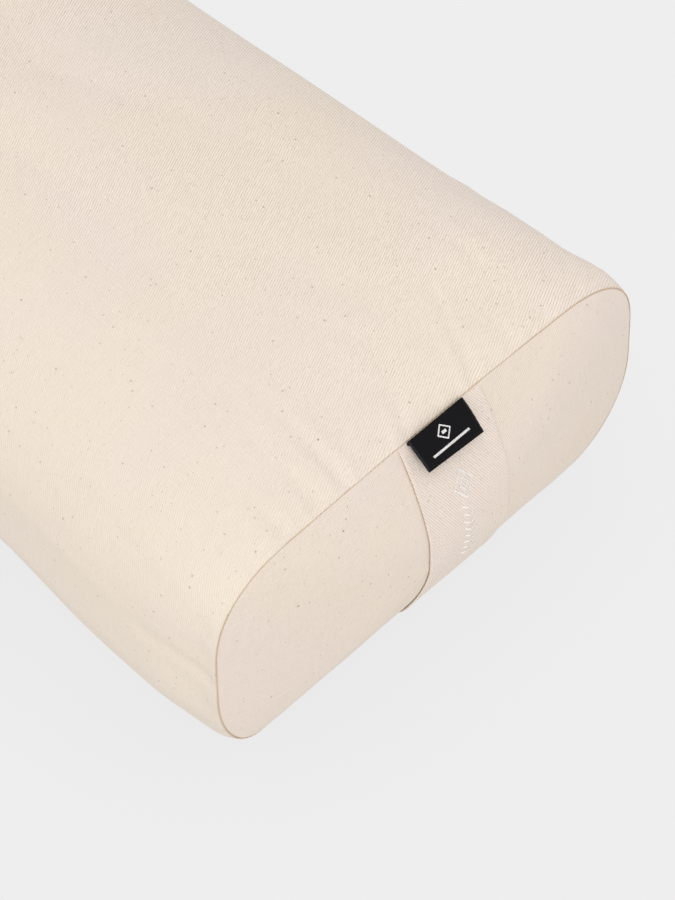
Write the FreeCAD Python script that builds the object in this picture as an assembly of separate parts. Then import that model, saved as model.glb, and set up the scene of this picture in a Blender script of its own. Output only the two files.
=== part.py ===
import FreeCAD, Part
import math
import os

# Rectangular yoga bolster in unbleached cotton drill: a zipped cover over a zipped liner
# full of hulls, with a strap handle on one end.
# Millimetres, +Z up. Origin: centre of the flat face it rests on.
# +X runs along the bolster to the end with the handle and the woven label,
# +Y to the long side with the cover's zip. The liner's zip is on the -Y side.

V = FreeCAD.Vector
ENDS = ((1, "handle_end"), (-1, "plain_end"))

# ---- body sizes; section corners are quarter ellipses, RY across and RZ up ----
HALF_W = 145.0          # middle section
HEIGHT = 158.0
CORNER_RY_TOP = 116.0
CORNER_RY_BOTTOM = 72.0
CORNER_RZ = 62.0
TOP_SAG = 3.0           # rise of the top across the width
END_HALF_W = 148.5      # end seam section
END_Z0, END_Z1 = 5.0, 139.0
END_RY_TOP = 60.0
END_RY_BOTTOM = 52.0
END_RZ = 50.0
END_SAG = 1.5
X_PRISM = 245.0         # the straight part reaches this far each side
X_SEAM = 290.0          # end seams
TAPER_X, TAPER_BLEND = 0.55, 0.45   # extra taper station: place along, share of end shape
END_CROWN = 22.0        # how far an end panel bulges past its seam
CROWN_POWER = 2.2
# end panel stations, as scales of the seam outline, from the seam outwards
DOME_SCALES = (1.0, 0.96, 0.88, 0.75, 0.58, 0.4, 0.22, 0.08)
DOME_LAP = 0.001        # a panel's hollow starts this far behind its seam

# ---- layers; insets are measured from the cover's outer face ----
COVER_T = 1.0           # cotton drill
LINER_INSET = 5.0
LINER_T = 0.6           # calico
X_LINER = X_SEAM - 3.6
LINER_CROWN = END_CROWN - 1.4
FILL_INSET = 6.7
X_FILL = X_LINER - 0.6
FILL_CROWN = LINER_CROWN - 1.7

# ---- zip openings and the parts both zips share ----
ZIP_Z = 76.5            # both zips sit at mid height of an upright flank
COVER_SLOT_X0, COVER_SLOT_X1, COVER_SLOT_HALF = -232.0, 237.0, 7.0
LINER_SLOT_X0, LINER_SLOT_X1, LINER_SLOT_HALF = -212.0, 217.0, 6.0
TAPE_GAP = 0.05         # cloth to tape
TAPE_INNER = 1.0        # bare tape edge from the chain's centre line
TOOTH_PITCH, TOOTH_LENGTH = 2.5, 1.1
CLEARANCE = 0.02        # between tape and the teeth and stops
SLIDER_LENGTH = 11.0
SLIDER_GAP = 0.2        # plates to teeth and tape
WALL = 1.0              # slider flange thickness
LAP = 0.05              # overlap of slider pieces that are fused
CHEEK_INNER = 1.5       # pull tab cheeks from the centre line
STOP_BACK = 0.5         # how far stops stand behind the tape


# ---- helpers ----
def box(x0, x1, y0, y1, z0, z1):
    return Part.makeBox(x1 - x0, y1 - y0, z1 - z0, V(x0, y0, z0))


def save(name, shape):
    solids = shape.Solids
    if not solids:
        raise RuntimeError(name + " has no solid")
    out = solids[0] if len(solids) == 1 else Part.makeCompound(solids)
    out.exportStep("parts/" + name + ".step")


def mix(start, end, share):
    return start + (end - start) * share


def corner(x, yc, zc, ry, rz, start_deg):
    """Quarter ellipse about (yc, zc) in the plane x, from start_deg on by 90, 0 along +Y."""
    start = math.radians(start_deg)
    angles = [start + math.pi / 2 * i / 8 for i in range(9)]
    points = [V(x, yc + ry * math.cos(a), zc + rz * math.sin(a)) for a in angles]
    sine, cosine = math.sin(start), math.cos(start)
    curve = Part.BSplineCurve()
    curve.interpolate(Points=points, InitialTangent=V(0, -sine * ry, cosine * rz),
                      FinalTangent=V(0, -cosine * ry, -sine * rz))
    return curve.toShape()


def section(x, half_w, z0, z1, ry_top, ry_bottom, rz, sag):
    """Closed wire in the plane x: flat bottom, round corners, upright flanks, crowned top."""
    shoulder_z = z1 - sag
    low, high = z0 + rz, shoulder_z - rz
    top_y, bottom_y = half_w - ry_top, half_w - ry_bottom
    return Part.Wire([
        Part.makeLine(V(x, -bottom_y, z0), V(x, bottom_y, z0)),
        corner(x, bottom_y, low, ry_bottom, rz, -90),
        Part.makeLine(V(x, half_w, low), V(x, half_w, high)),
        corner(x, top_y, high, ry_top, rz, 0),
        Part.Arc(V(x, top_y, shoulder_z), V(x, 0, z1), V(x, -top_y, shoulder_z)).toShape(),
        corner(x, -top_y, high, ry_top, rz, 90),
        Part.makeLine(V(x, -half_w, high), V(x, -half_w, low)),
        corner(x, -bottom_y, low, ry_bottom, rz, 180),
    ])


def middle_sizes(inset):
    return (HALF_W - inset, inset, HEIGHT - inset, CORNER_RY_TOP - inset,
            CORNER_RY_BOTTOM - inset, CORNER_RZ - inset, TOP_SAG)


def end_sizes(inset):
    return (END_HALF_W - inset, END_Z0 + inset, END_Z1 - inset, END_RY_TOP - inset,
            END_RY_BOTTOM - inset, END_RZ - inset, END_SAG)


def between_section(x, inset, share):
    """Section part of the way from the middle's shape to the end seam's."""
    pairs = zip(middle_sizes(inset), end_sizes(inset))
    return section(x, *[mix(middle, end, share) for middle, end in pairs])


def tube_solid(inset, x_end):
    """The whole body between its two end seams."""
    middle = middle_sizes(inset)
    prism = Part.Face(section(-X_PRISM, *middle)).extrude(V(2 * X_PRISM, 0, 0))
    tapers = []
    for side, _ in ENDS:
        wires = [section(side * X_PRISM, *middle),
                 between_section(side * mix(X_PRISM, x_end, TAPER_X), inset, TAPER_BLEND),
                 section(side * x_end, *end_sizes(inset))]
        tapers.append(Part.makeLoft(wires, True, False))
    return prism.fuse(tapers).removeSplitter()


def dome_solid(inset, x_end, crown, side):
    """The bulge of one end, from its seam outwards. side is +1 or -1 along X."""
    half_w, z0, z1, ry_top, ry_bottom, rz, sag = end_sizes(inset)
    zc = (z0 + z1) / 2
    wires = []
    for k in DOME_SCALES:
        x = x_end + crown * (1 - k ** CROWN_POWER)
        wires.append(section(side * x, half_w * k, zc + (z0 - zc) * k, zc + (z1 - zc) * k,
                             ry_top * k, ry_bottom * k, rz * k, sag * k))
    return Part.makeLoft(wires, True, False)


def tube_shell(inset, thickness, x_end):
    return tube_solid(inset, x_end).cut(tube_solid(inset + thickness, x_end))


def save_end_panels(prefix, inset, thickness, x_end, crown):
    for side, end in ENDS:
        hollow = dome_solid(inset + thickness, x_end - DOME_LAP, crown - thickness, side)
        save(prefix + end, dome_solid(inset, x_end, crown, side).cut(hollow))


# ---- outer cover ----
def build_cover():
    slot = box(COVER_SLOT_X0, COVER_SLOT_X1, HALF_W - 5, HALF_W + 5,
               ZIP_Z - COVER_SLOT_HALF, ZIP_Z + COVER_SLOT_HALF)
    save("cover_body_panel", tube_shell(0.0, COVER_T, X_SEAM).cut(slot))
    save_end_panels("cover_end_panel_", 0.0, COVER_T, X_SEAM, END_CROWN)


def build_end_seam_threads():
    """The lockstitch that closes each end seam, a ring just inside the cloth."""
    thread_x0, thread_x1 = 287.4, 288.2
    end_share = 0.955
    outer_inset, inner_inset = COVER_T + 0.6, COVER_T + 1.3
    for side, end in ENDS:
        x0, x1 = sorted((side * thread_x0, side * thread_x1))
        outer, inner = [
            Part.Face(between_section(x0, inset, end_share)).extrude(V(x1 - x0, 0, 0))
            for inset in (outer_inset, inner_inset)]
        save("end_seam_thread_" + end, outer.cut(inner))


# ---- carry handle and woven label, on the +X end panel ----
STRAP_Y0, STRAP_Y1 = -22.5, 36.5
STRAP_T = 1.8           # two layers of drill
STRAP_GAP = 0.5         # strap to end panel
STRAP_Z_TOP, STRAP_Z_BOTTOM = 137.0, 7.0
SPLIT_HIGH, SPLIT_LOW = 110.0, 34.0     # where the strap's three lengths part
SPLIT_GAP = 3.0
BAND_STATIONS = 13

LABEL_Y0, LABEL_Y1 = -14.5, 24.3
LABEL_Z_BOTTOM = 122.5
LABEL_LEAF = 0.45
LABEL_T = 1.3
LABEL_GAP = 0.4         # label to strap
LABEL_FOLD = 0.6        # cloth left below the split


def crown_x(z):
    """Outer face of the +X end panel at height z."""
    zc, half_h = (END_Z0 + END_Z1) / 2, (END_Z1 - END_Z0) / 2
    share = min(abs(z - zc) / half_h, 1.0)
    return X_SEAM + END_CROWN * (1 - share ** CROWN_POWER)


def crown_normal(z):
    step = 0.05
    slope = (crown_x(z + step) - crown_x(z - step)) / (2 * step)
    normal = V(1, 0, -slope)
    normal.normalize()
    return normal


def band(z_high, z_low, gap, thickness, y0, y1):
    """A strip that follows the end panel's bulge, gap clear of it."""
    inner, outer = [], []
    for i in range(BAND_STATIONS):
        z = mix(z_high, z_low, i / (BAND_STATIONS - 1))
        base = V(crown_x(z), y0, z)
        normal = crown_normal(z)
        inner.append(base + normal * gap)
        outer.append(base + normal * (gap + thickness))
    inner_curve, outer_curve = Part.BSplineCurve(), Part.BSplineCurve()
    inner_curve.interpolate(inner)
    outer_curve.interpolate(outer)
    wire = Part.Wire([inner_curve.toShape(), Part.makeLine(inner[-1], outer[-1]),
                      outer_curve.toShape(), Part.makeLine(outer[0], inner[0])])
    return Part.Face(wire).extrude(V(0, y1 - y0, 0))


def build_handle():
    """One strap, drawn as the three lengths it flexes into."""
    half_gap = SPLIT_GAP / 2
    for name, z_high, z_low in (
            ("top", STRAP_Z_TOP, SPLIT_HIGH + half_gap),
            ("grip", SPLIT_HIGH - half_gap, SPLIT_LOW + half_gap),
            ("bottom", SPLIT_LOW - half_gap, STRAP_Z_BOTTOM)):
        save("handle_strap_" + name,
             band(z_high, z_low, STRAP_GAP, STRAP_T, STRAP_Y0, STRAP_Y1))


def build_woven_label():
    """A ribbon folded in half over the strap, fold down, both ends in the top seam."""
    gap = STRAP_GAP + STRAP_T + LABEL_GAP
    label = band(STRAP_Z_TOP, LABEL_Z_BOTTOM, gap, LABEL_T, LABEL_Y0, LABEL_Y1)
    split = band(STRAP_Z_TOP + 1.0, LABEL_Z_BOTTOM + LABEL_FOLD, gap + LABEL_LEAF,
                 LABEL_T - 2 * LABEL_LEAF, LABEL_Y0 - 1, LABEL_Y1 + 1)
    save("woven_label", label.cut(split))


# ---- zips ----
class Zip:
    """A closed zip on an upright flank. face_y is the tape's outward face, and out is +1 or -1
    along Y for the way it faces. Heights h are measured outwards from that face, z from the
    chain's centre line. The slider is at the +X, closed end."""

    def __init__(self):
        self.plate_bottom = self.tooth_top + SLIDER_GAP
        self.plate_top = self.plate_bottom + self.plate_t
        self.pin_h = self.plate_top + self.pin_rise

    def box(self, x0, x1, h0, h1, z0, z1):
        y0, y1 = sorted((self.face_y + self.out * h0, self.face_y + self.out * h1))
        return box(x0, x1, y0, y1, ZIP_Z + z0, ZIP_Z + z1)

    def save(self, name, shape):
        save(self.prefix + name, shape)

    def build(self):
        self.tapes()
        self.teeth()
        self.save("_slider", self.slider().fuse(self.bail()).removeSplitter())
        self.save("_pull_tab", self.pull_tab())
        self.stops()

    def tapes(self):
        for name, z0, z1 in (("upper", TAPE_INNER, self.tape_half),
                             ("lower", -self.tape_half, -TAPE_INNER)):
            self.save("_tape_" + name, self.box(-self.tape_x, self.tape_x, -self.tape_t, 0, z0, z1))

    def teeth(self):
        """Two rows, half a pitch apart, lapping over the centre line."""
        count = int(round((self.chain_x1 - self.chain_x0) / TOOTH_PITCH))
        for name, shift, z0, z1 in (
                ("upper", 0, -self.tooth_lap, self.tooth_out),
                ("lower", TOOTH_PITCH / 2, -self.tooth_out, self.tooth_lap)):
            row = []
            for i in range(count):
                x = self.chain_x0 + i * TOOTH_PITCH + shift
                row.append(self.box(x, x + TOOTH_LENGTH, CLEARANCE, self.tooth_top, z0, z1))
            self.save("_teeth_" + name, Part.makeCompound(row))

    def slider(self):
        """Outer plate with a wider +X end, inner plate, two flanges, and a joining post."""
        x0, x1 = self.slider_x, self.slider_x + SLIDER_LENGTH
        bottom, top = self.plate_bottom, self.plate_top
        inner = self.tooth_out + 0.5
        outer = inner + WALL
        wide = inner + 1.7
        back = -self.tape_t - SLIDER_GAP
        plate = self.box(x0, x1, bottom, top, -outer, outer)
        nose = self.box(x0 + 7.5, x1, bottom, top, -wide, wide)
        under = self.box(x0, x1, back - 0.9, back, -outer, outer)
        flanges = [self.box(x0, x1, 0.25, bottom + LAP, z0, z1)
                   for z0, z1 in ((inner, outer), (-outer, -inner))]
        post = self.box(x0 + 5.6, x0 + 9.2, back - LAP, bottom + LAP, -0.8, 0.8)
        return plate.fuse([nose, under, post] + flanges)

    def tab_blank(self):
        """A pin under the bail, two cheeks, and a blade that lies back over the chain."""
        half = self.pin_half
        h0, h1 = self.pin_h - self.tab_half_t, self.pin_h + self.tab_half_t
        pin = Part.makeCylinder(self.pin_r, 2 * half, V(
            self.pin_x, self.face_y + self.out * self.pin_h, ZIP_Z - half), V(0, 0, 1))
        x0, x1 = self.pin_x - self.cheek_back, self.pin_x + self.cheek_front
        cheeks = [self.box(x0, x1, h0, h1, z0, z1)
                  for z0, z1 in ((CHEEK_INNER, half), (-half, -CHEEK_INNER))]
        blade = self.box(self.pin_x - self.blade_far, self.pin_x - self.blade_near, h0, h1,
                         -self.blade_half, self.blade_half)
        return pin.fuse(cheeks + [blade])

    def stop(self, x0, x1, z0, z1):
        """A block with room cut for the two tape edges it is clamped on."""
        block = self.box(x0, x1, -self.tape_t - STOP_BACK, self.tooth_top, z0, z1)
        edge, far = TAPE_INNER - CLEARANCE, self.tape_half + 1
        for cut_z0, cut_z1 in ((edge, far), (-far, -edge)):
            block = block.cut(self.box(x0 - 1, x1 + 1, -self.tape_t - CLEARANCE, CLEARANCE,
                                       cut_z0, cut_z1))
        return block

    def stops(self):
        x0, x1, reach = self.top_stop
        self.save("_top_stops", Part.makeCompound([
            self.stop(x0, x1, 0.35, reach), self.stop(x0, x1, -reach, -0.35)]))
        x0, x1, reach = self.bottom_stop
        self.save("_bottom_stop", self.stop(x0, x1, -reach, reach))


class CoverZip(Zip):
    """5 mm chain in the +Y flank, showing through the cover's opening."""
    prefix = "cover_zip"
    face_y, out = HALF_W - COVER_T - TAPE_GAP, 1
    tape_t, tape_half, tape_x = 0.6, 14.0, 243.0
    tooth_top, tooth_out, tooth_lap = 1.9, 2.9, 1.1
    chain_x0, chain_x1 = -226.0, 220.0
    slider_x, plate_t = 217.4, 1.0
    pin_x, pin_rise = slider_x + 5.5, 0.95
    pin_r, pin_half = 0.7, 2.9
    tab_half_t = 0.6
    cheek_back, cheek_front = 6.5, 0.55
    blade_far, blade_near, blade_half = 27.0, 5.0, 3.6
    hole_back, hole_r = 22.5, 1.6
    tab_fillet = 2.6
    top_stop = (230.0, 232.6, 3.3)          # x0, x1, reach from the centre line
    bottom_stop = (-230.6, -227.6, 3.4)

    def bail(self):
        """An arch over the tab's pin, running along the zip."""
        x, top = self.pin_x, self.plate_top
        arch = self.box(x - 3.4, x + 3.4, top - LAP, top + 2.9, -0.9, 0.9)
        return arch.cut(self.box(x - 2.2, x + 2.2, top, top + 1.95, -2, 2))

    def pull_tab(self):
        """Blade pierced near its free end, with that end's corners rounded."""
        hole = Part.makeCylinder(self.hole_r, 10, V(self.pin_x - self.hole_back, self.face_y, ZIP_Z),
                                 V(0, 1, 0))
        tab = self.tab_blank().cut(hole).removeSplitter()
        corners = [e for e in tab.Edges if abs(e.Length - 2 * self.tab_half_t) < 0.01
                   and e.BoundBox.Center.x < self.pin_x - self.blade_far + 1]
        return tab.makeFillet(self.tab_fillet, corners)


class LinerZip(Zip):
    """3 mm chain in the -Y flank, facing outwards under the cover."""
    prefix = "liner_zip"
    face_y, out = -(HALF_W - LINER_INSET - LINER_T - TAPE_GAP), -1
    tape_t, tape_half, tape_x = 0.5, 12.0, 222.0
    tooth_top, tooth_out, tooth_lap = 1.3, 2.4, 1.1
    chain_x0, chain_x1 = -206.0, 199.0
    slider_x, plate_t = 196.6, 0.7
    pin_x, pin_rise = slider_x + 5.2, 0.55
    pin_r, pin_half = 0.32, 2.6
    tab_half_t = 0.28
    cheek_back, cheek_front = 5.2, 0.25
    blade_far, blade_near, blade_half = 17.8, 4.4, 2.6
    top_stop = (209.2, 211.4, 2.8)
    bottom_stop = (-210.2, -207.6, 2.9)

    def bail(self):
        """Two legs and a bar across them."""
        x, top = self.pin_x, self.plate_top
        legs = [self.box(x0, x1, top - LAP, top + 1.3, -1.2, 1.2)
                for x0, x1 in ((x - 2.4, x - 1.6), (x + 1.6, x + 2.4))]
        return legs + [self.box(x - 2.4, x + 2.4, top + 0.97, top + 1.35, -1.2, 1.2)]

    def pull_tab(self):
        return self.tab_blank().removeSplitter()


def build_topstitching():
    """Two rows that hold the folded cloth edges to the cover zip's tapes."""
    pitch, length, half_width = 3.2, 2.5, 0.25
    margin = 4              # from each end of the slot
    row_z = COVER_SLOT_HALF + 2.0
    y0, y1 = HALF_W + 0.01, HALF_W + 0.36
    count = int((COVER_SLOT_X1 - COVER_SLOT_X0 - 2 * margin) / pitch)
    stitches = []
    for z in (ZIP_Z + row_z, ZIP_Z - row_z):
        for i in range(count):
            x = COVER_SLOT_X0 + margin + i * pitch
            stitches.append(box(x, x + length, y0, y1, z - half_width, z + half_width))
    save("zip_topstitch_thread", Part.makeCompound(stitches))


def build_care_label():
    """Folded, fold down, sewn in behind the zip on the inside of the cover."""
    x0, x1, z0, z1 = -205, -175, 65.0, 88.0
    y0, y1 = HALF_W - 3.95, HALF_W - 3.35
    leaf, fold = 0.2, 0.4
    split = box(x0 - 1, x1 + 1, y0 + leaf, y1 - leaf, z0 + fold, z1 + 1)
    save("care_label", box(x0, x1, y0, y1, z0, z1).cut(split))


# ---- liner and filling ----
def build_liner():
    slot = box(LINER_SLOT_X0, LINER_SLOT_X1, -HALF_W, -HALF_W + 10,
               ZIP_Z - LINER_SLOT_HALF, ZIP_Z + LINER_SLOT_HALF)
    save("liner_body_panel", tube_shell(LINER_INSET, LINER_T, X_LINER).cut(slot))
    save_end_panels("liner_end_panel_", LINER_INSET, LINER_T, X_LINER, LINER_CROWN)


def build_filling(liner_zip):
    """One packed mass of hulls, settled clear of the back of the liner zip."""
    domes = [dome_solid(FILL_INSET, X_FILL, FILL_CROWN, side) for side, _ in ENDS]
    fill = tube_solid(FILL_INSET, X_FILL).fuse(domes).removeSplitter()
    half_x, half_z = liner_zip.tape_x + 2, liner_zip.tape_half + 0.6
    save("filling", fill.cut(box(-half_x, half_x, -HALF_W,
                                 liner_zip.face_y + liner_zip.tape_t + 1.6,
                                 ZIP_Z - half_z, ZIP_Z + half_z)))


os.makedirs("parts", exist_ok=True)
build_cover()
build_end_seam_threads()
build_handle()
build_woven_label()
CoverZip().build()
build_topstitching()
build_care_label()
build_liner()
liner_zip = LinerZip()
liner_zip.build()
build_filling(liner_zip)
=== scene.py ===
# A buckwheat-filled bolster in a cotton drill cover. It lies along X on the floor (z = 0), with
# the handle strap and the woven label on its +X end, the plain end at -X and the zip along its
# +Y side. Sizes are in mm unless noted; meshes are turned to metres when they are made.
import math
from functools import lru_cache

import bpy
import bmesh
import numpy as np
from mathutils import Matrix, Vector


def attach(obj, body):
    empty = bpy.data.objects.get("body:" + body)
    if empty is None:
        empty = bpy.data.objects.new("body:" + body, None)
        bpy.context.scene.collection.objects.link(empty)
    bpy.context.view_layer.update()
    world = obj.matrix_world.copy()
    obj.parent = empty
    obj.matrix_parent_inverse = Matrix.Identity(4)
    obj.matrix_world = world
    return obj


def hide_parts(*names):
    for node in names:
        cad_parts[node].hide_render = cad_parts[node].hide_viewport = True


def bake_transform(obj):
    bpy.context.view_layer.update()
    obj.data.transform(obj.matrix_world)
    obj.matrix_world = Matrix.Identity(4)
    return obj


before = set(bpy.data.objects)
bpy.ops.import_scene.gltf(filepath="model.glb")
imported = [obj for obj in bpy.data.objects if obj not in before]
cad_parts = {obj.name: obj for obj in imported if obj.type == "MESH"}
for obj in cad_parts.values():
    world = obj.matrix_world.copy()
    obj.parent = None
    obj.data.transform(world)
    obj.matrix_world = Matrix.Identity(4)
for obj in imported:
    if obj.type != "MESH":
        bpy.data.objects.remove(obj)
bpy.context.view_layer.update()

MM = 0.001
TAU = 2 * math.pi
rng = np.random.RandomState(7)

# ================================================================ driving sizes
X_SEAM = 290.0                      # end seams, either side of the middle
FLARE_X = 200.0                     # past here the section changes towards the seam
ZIP_Z = 76.5
SLOT_X0, SLOT_X1 = -233.0, 238.0    # ends of the zip opening
COVER_T = 1.0
LINER_T = 0.6
LINER_INSET = 5.2
CROWN, CROWN_POWER = 22.35, 1.72    # how far the ends bulge, and the shape of the bulge
SEAM_LEAN_Y, SEAM_LEAN_Z = 0.5, -2.54
SEAM_INSET = 0.62                   # how far the end seams sink in


# ================================================================ numbers
def spline(xs, ys):
    """Natural cubic spline through the points, held flat outside them."""
    xs, ys = np.array(xs, float), np.array(ys, float)
    n = len(xs)
    gap = np.diff(xs)
    matrix, right = np.zeros((n, n)), np.zeros(n)
    matrix[0, 0] = matrix[-1, -1] = 1
    for i in range(1, n - 1):
        matrix[i, i - 1:i + 2] = gap[i - 1], 2 * (gap[i - 1] + gap[i]), gap[i]
        right[i] = 6 * ((ys[i + 1] - ys[i]) / gap[i] - (ys[i] - ys[i - 1]) / gap[i - 1])
    bend = np.linalg.solve(matrix, right)

    def curve(x):
        x = np.clip(np.asarray(x, float), xs[0], xs[-1])
        i = np.clip(np.searchsorted(xs, x) - 1, 0, n - 2)
        after, before = xs[i + 1] - x, x - xs[i]
        g = gap[i]
        return ((bend[i] * after ** 3 + bend[i + 1] * before ** 3) / (6 * g)
                + (ys[i] / g - bend[i] * g / 6) * after
                + (ys[i + 1] / g - bend[i + 1] * g / 6) * before)
    return curve


def smooth_step(t):
    t = np.clip(t, 0, 1)
    return t * t * (3 - 2 * t)


def points(*coords):
    """Points from coordinates that broadcast against each other."""
    return np.stack(np.broadcast_arrays(*coords), -1)


def wave_noise(x, y, seed, scale, octaves=2):
    """Smooth repeatable noise made of a few plane waves."""
    draw = np.random.RandomState(seed).uniform
    out = np.zeros_like(x)
    amp, norm = 1.0, 0.0
    for octave in range(octaves):
        for _ in range(6):
            angle = draw(0, TAU)
            freq = TAU / (scale / 2 ** octave) * draw(0.6, 1.4)
            place = math.cos(angle) * x + math.sin(angle) * y
            out += amp * np.sin(freq * place + draw(0, TAU)) / 2.45
        norm += amp
        amp *= 0.5
    return out / norm


def grid_normals(grid, wrap=False):
    if wrap:
        padded = np.concatenate([grid[:, -2:], grid, grid[:, :2]], 1)
        return grid_normals(padded)[:, 2:-2]
    n = np.cross(np.gradient(grid, axis=0), np.gradient(grid, axis=1))
    return n / (np.linalg.norm(n, axis=2, keepdims=True) + 1e-12)


def facing(normals, test):
    """Turns the normals round when the test value is negative."""
    return -normals if test < 0 else normals


# ================================================================ section of the bolster
# Section values along the bolster, at these distances from its middle
CURVE_X = [0, 80, 150, 200, 235, 262, 280, 290]
CURVES = {
    "zip side y": [145, 145, 145, 145, 145.1, 147.4, 151.2, 152.8],
    "far side y": [144.1, 143.2, 147.2, 153.2, 155.0, 153.8, 149.6, 148.2],
    "top": [158.4, 158.8, 159.5, 158.3, 155.4, 148.4, 142.4, 135.7],
    "bottom": [0, 0, 0, 0, 0.1, 0.9, 3.2, 7.6],
    "corner width, top of zip side": [124, 94, 80, 68.5, 61, 65.5, 63.8, 61.7],
    "corner width, top of far side": [118, 116, 108, 98, 88, 76, 65.3, 57.7],
    "corner width, bottom of far side": [72, 71, 68.4, 64.2, 57.4, 47, 29, 30],
    "corner width, bottom of zip side": [72, 71, 69, 66, 62, 58, 52.1, 46],
    "foot of the upright sides": [62, 62, 61, 59.2, 58.3, 57.5, 61.5, 61.2],
    "head of the upright sides": [91, 91, 91, 91, 90.8, 90.4, 89.6, 84.4],
    "rise of the top": [3, 3, 2.8, 2.5, 2.2, 1.9, 1.7, 1.5],
}
CURVES = {name: spline(CURVE_X, values) for name, values in CURVES.items()}
SEAM_TOP = float(CURVES["top"](X_SEAM))
SEAM_BOTTOM = float(CURVES["bottom"](X_SEAM))
SEAM_MID_Z = (SEAM_BOTTOM + SEAM_TOP) / 2
SEAM_HALF_HEIGHT = (SEAM_TOP - SEAM_BOTTOM) / 2
END_Z = SEAM_MID_Z - 0.26           # centre of the end panels
POWER_TOP, POWER_LOW = 2.47, 2.01   # corner shape at the seam; 2 is an ellipse
SIDE_LIMIT = 145.0                  # the liner follows the cover's flare past this only in part
QUARTER = np.linspace(0, math.pi / 2, 64)


def end_share(x):
    return smooth_step((np.abs(x) - FLARE_X) / (X_SEAM - FLARE_X))


def section(x, inset, flip):
    """Dense (y, z) outline at x: from the zip line up, over the top, down the far side, under
    and back. Flipped, the zip line is on the -Y side."""
    (zip_y, far_y, top, bottom, zip_top_w, far_top_w, far_low_w, zip_low_w,
     foot, head, rise) = (float(curve(abs(x))) for curve in CURVES.values())
    if flip:
        zip_y = far_y = min(zip_y, SIDE_LIMIT + 0.6 * (zip_y - SIDE_LIMIT))
        far_top_w = zip_top_w
    zip_y, far_y, top, bottom = zip_y - inset, far_y - inset, top - inset, bottom + inset
    zip_top_w, far_top_w, far_low_w, zip_low_w = (
        max(w - inset, 8) for w in (zip_top_w, far_top_w, far_low_w, zip_low_w))

    share = float(end_share(x))
    top_power = 2 + (POWER_TOP - 2) * share
    low_power = 2 + (POWER_LOW - 2) * share
    top_cos, top_sin = np.cos(QUARTER) ** (2 / top_power), np.sin(QUARTER) ** (2 / top_power)
    low_cos, low_sin = np.cos(QUARTER) ** (2 / low_power), np.sin(QUARTER) ** (2 / low_power)
    corner_z = top - rise
    top_y0, top_y1 = zip_y - zip_top_w, -(far_y - far_top_w)
    low_y0, low_y1 = -(far_y - far_low_w), zip_y - zip_low_w
    y = np.linspace(top_y0, top_y1, 44)[1:-1]
    across = (y - (top_y0 + top_y1) / 2) / ((top_y0 - top_y1) / 2)
    top_z = head + (corner_z - head) * top_sin
    low_z = foot - (foot - bottom) * low_sin
    outline_points = np.concatenate([
        points(zip_y, np.linspace(ZIP_Z, head, 12)[:-1]),
        points(top_y0 + zip_top_w * top_cos, top_z),
        points(y, corner_z + rise * (1 - across ** 2)),
        points(top_y1 - far_top_w * top_cos[::-1], top_z[::-1]),
        points(-far_y, np.linspace(head, foot, 14)[1:-1]),
        points(low_y0 - far_low_w * low_cos, low_z),
        points(np.linspace(low_y0, low_y1, 40)[1:-1], bottom),
        points(low_y1 + zip_low_w * low_cos[::-1], low_z[::-1]),
        points(zip_y, np.linspace(foot, ZIP_Z, 9)[1:])])
    if flip:
        outline_points[:, 0] = -outline_points[:, 0]
    return outline_points


@lru_cache(maxsize=None)
def outline(x, inset=0.0, flip=False):
    """The section's points and their distance round from the zip line."""
    yz = section(x, inset, flip)
    return yz, np.r_[0, np.cumsum(np.hypot(*np.diff(yz, axis=0).T))]


def girth(x, inset=0.0, flip=False):
    return outline(x, inset, flip)[1][-1]


def at_arc(x, s, inset=0.0, flip=False):
    yz, along = outline(x, inset, flip)
    return points(np.interp(s, along, yz[:, 0]), np.interp(s, along, yz[:, 1]))


def even_ring(x, count, inset=0.0, flip=False):
    """Evenly spaced (y, z) points round the section, and their distances round."""
    s = np.linspace(0, girth(x, inset, flip), count, endpoint=False)
    return at_arc(x, s, inset, flip), s


def even_tube(xs, count, inset=0.0, flip=False):
    return np.stack([points(x, *even_ring(x, count, inset, flip)[0].T) for x in xs])


def opening_half(x, start, end, fade, closed, half):
    """Half width of the opening at x, from a closed slit beyond its ends to its full width."""
    t = np.minimum(smooth_step((x - start) / fade), smooth_step((end - x) / fade))
    return closed + (half - closed) * np.sqrt(t)


def slit_tube(xs, half_gaps, edge, margin, count, inset=0.0, flip=False):
    """Grid round the bolster, open at the zip line. edge: distances of the extra columns from
    the opening; the even ones start at margin. Also gives the distances round."""
    grid, distances = [], []
    for x, gap in zip(xs, half_gaps):
        length = girth(x, inset, flip)
        even = np.linspace(gap + margin, length - gap - margin, count - 2 * len(edge))
        s = np.r_[gap + edge, even, (length - gap - edge)[::-1]]
        grid.append(points(x, *at_arc(x, s, inset, flip).T))
        distances.append(s)
    return np.array(grid), np.array(distances)


def seam_lean(y, z):
    """How far the seam line leans out of its plane; z is from the seam's centre."""
    return SEAM_LEAN_Y * (y / 150.0) ** 2 + SEAM_LEAN_Z * z / SEAM_HALF_HEIGHT


def seam_shift(x, y, z):
    return np.sign(x) * end_share(x) * seam_lean(y, z - SEAM_MID_Z)


def lean_ends(grid):
    grid[..., 0] += seam_shift(grid[..., 0], grid[..., 1], grid[..., 2])


def shrunk(y, z, share, centre_z=END_Z):
    """y and z drawn in towards the middle of the end."""
    return y * share, centre_z + (z - centre_z) * share


def bulge(share, height=CROWN):
    return height * (1 - share ** CROWN_POWER)


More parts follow.
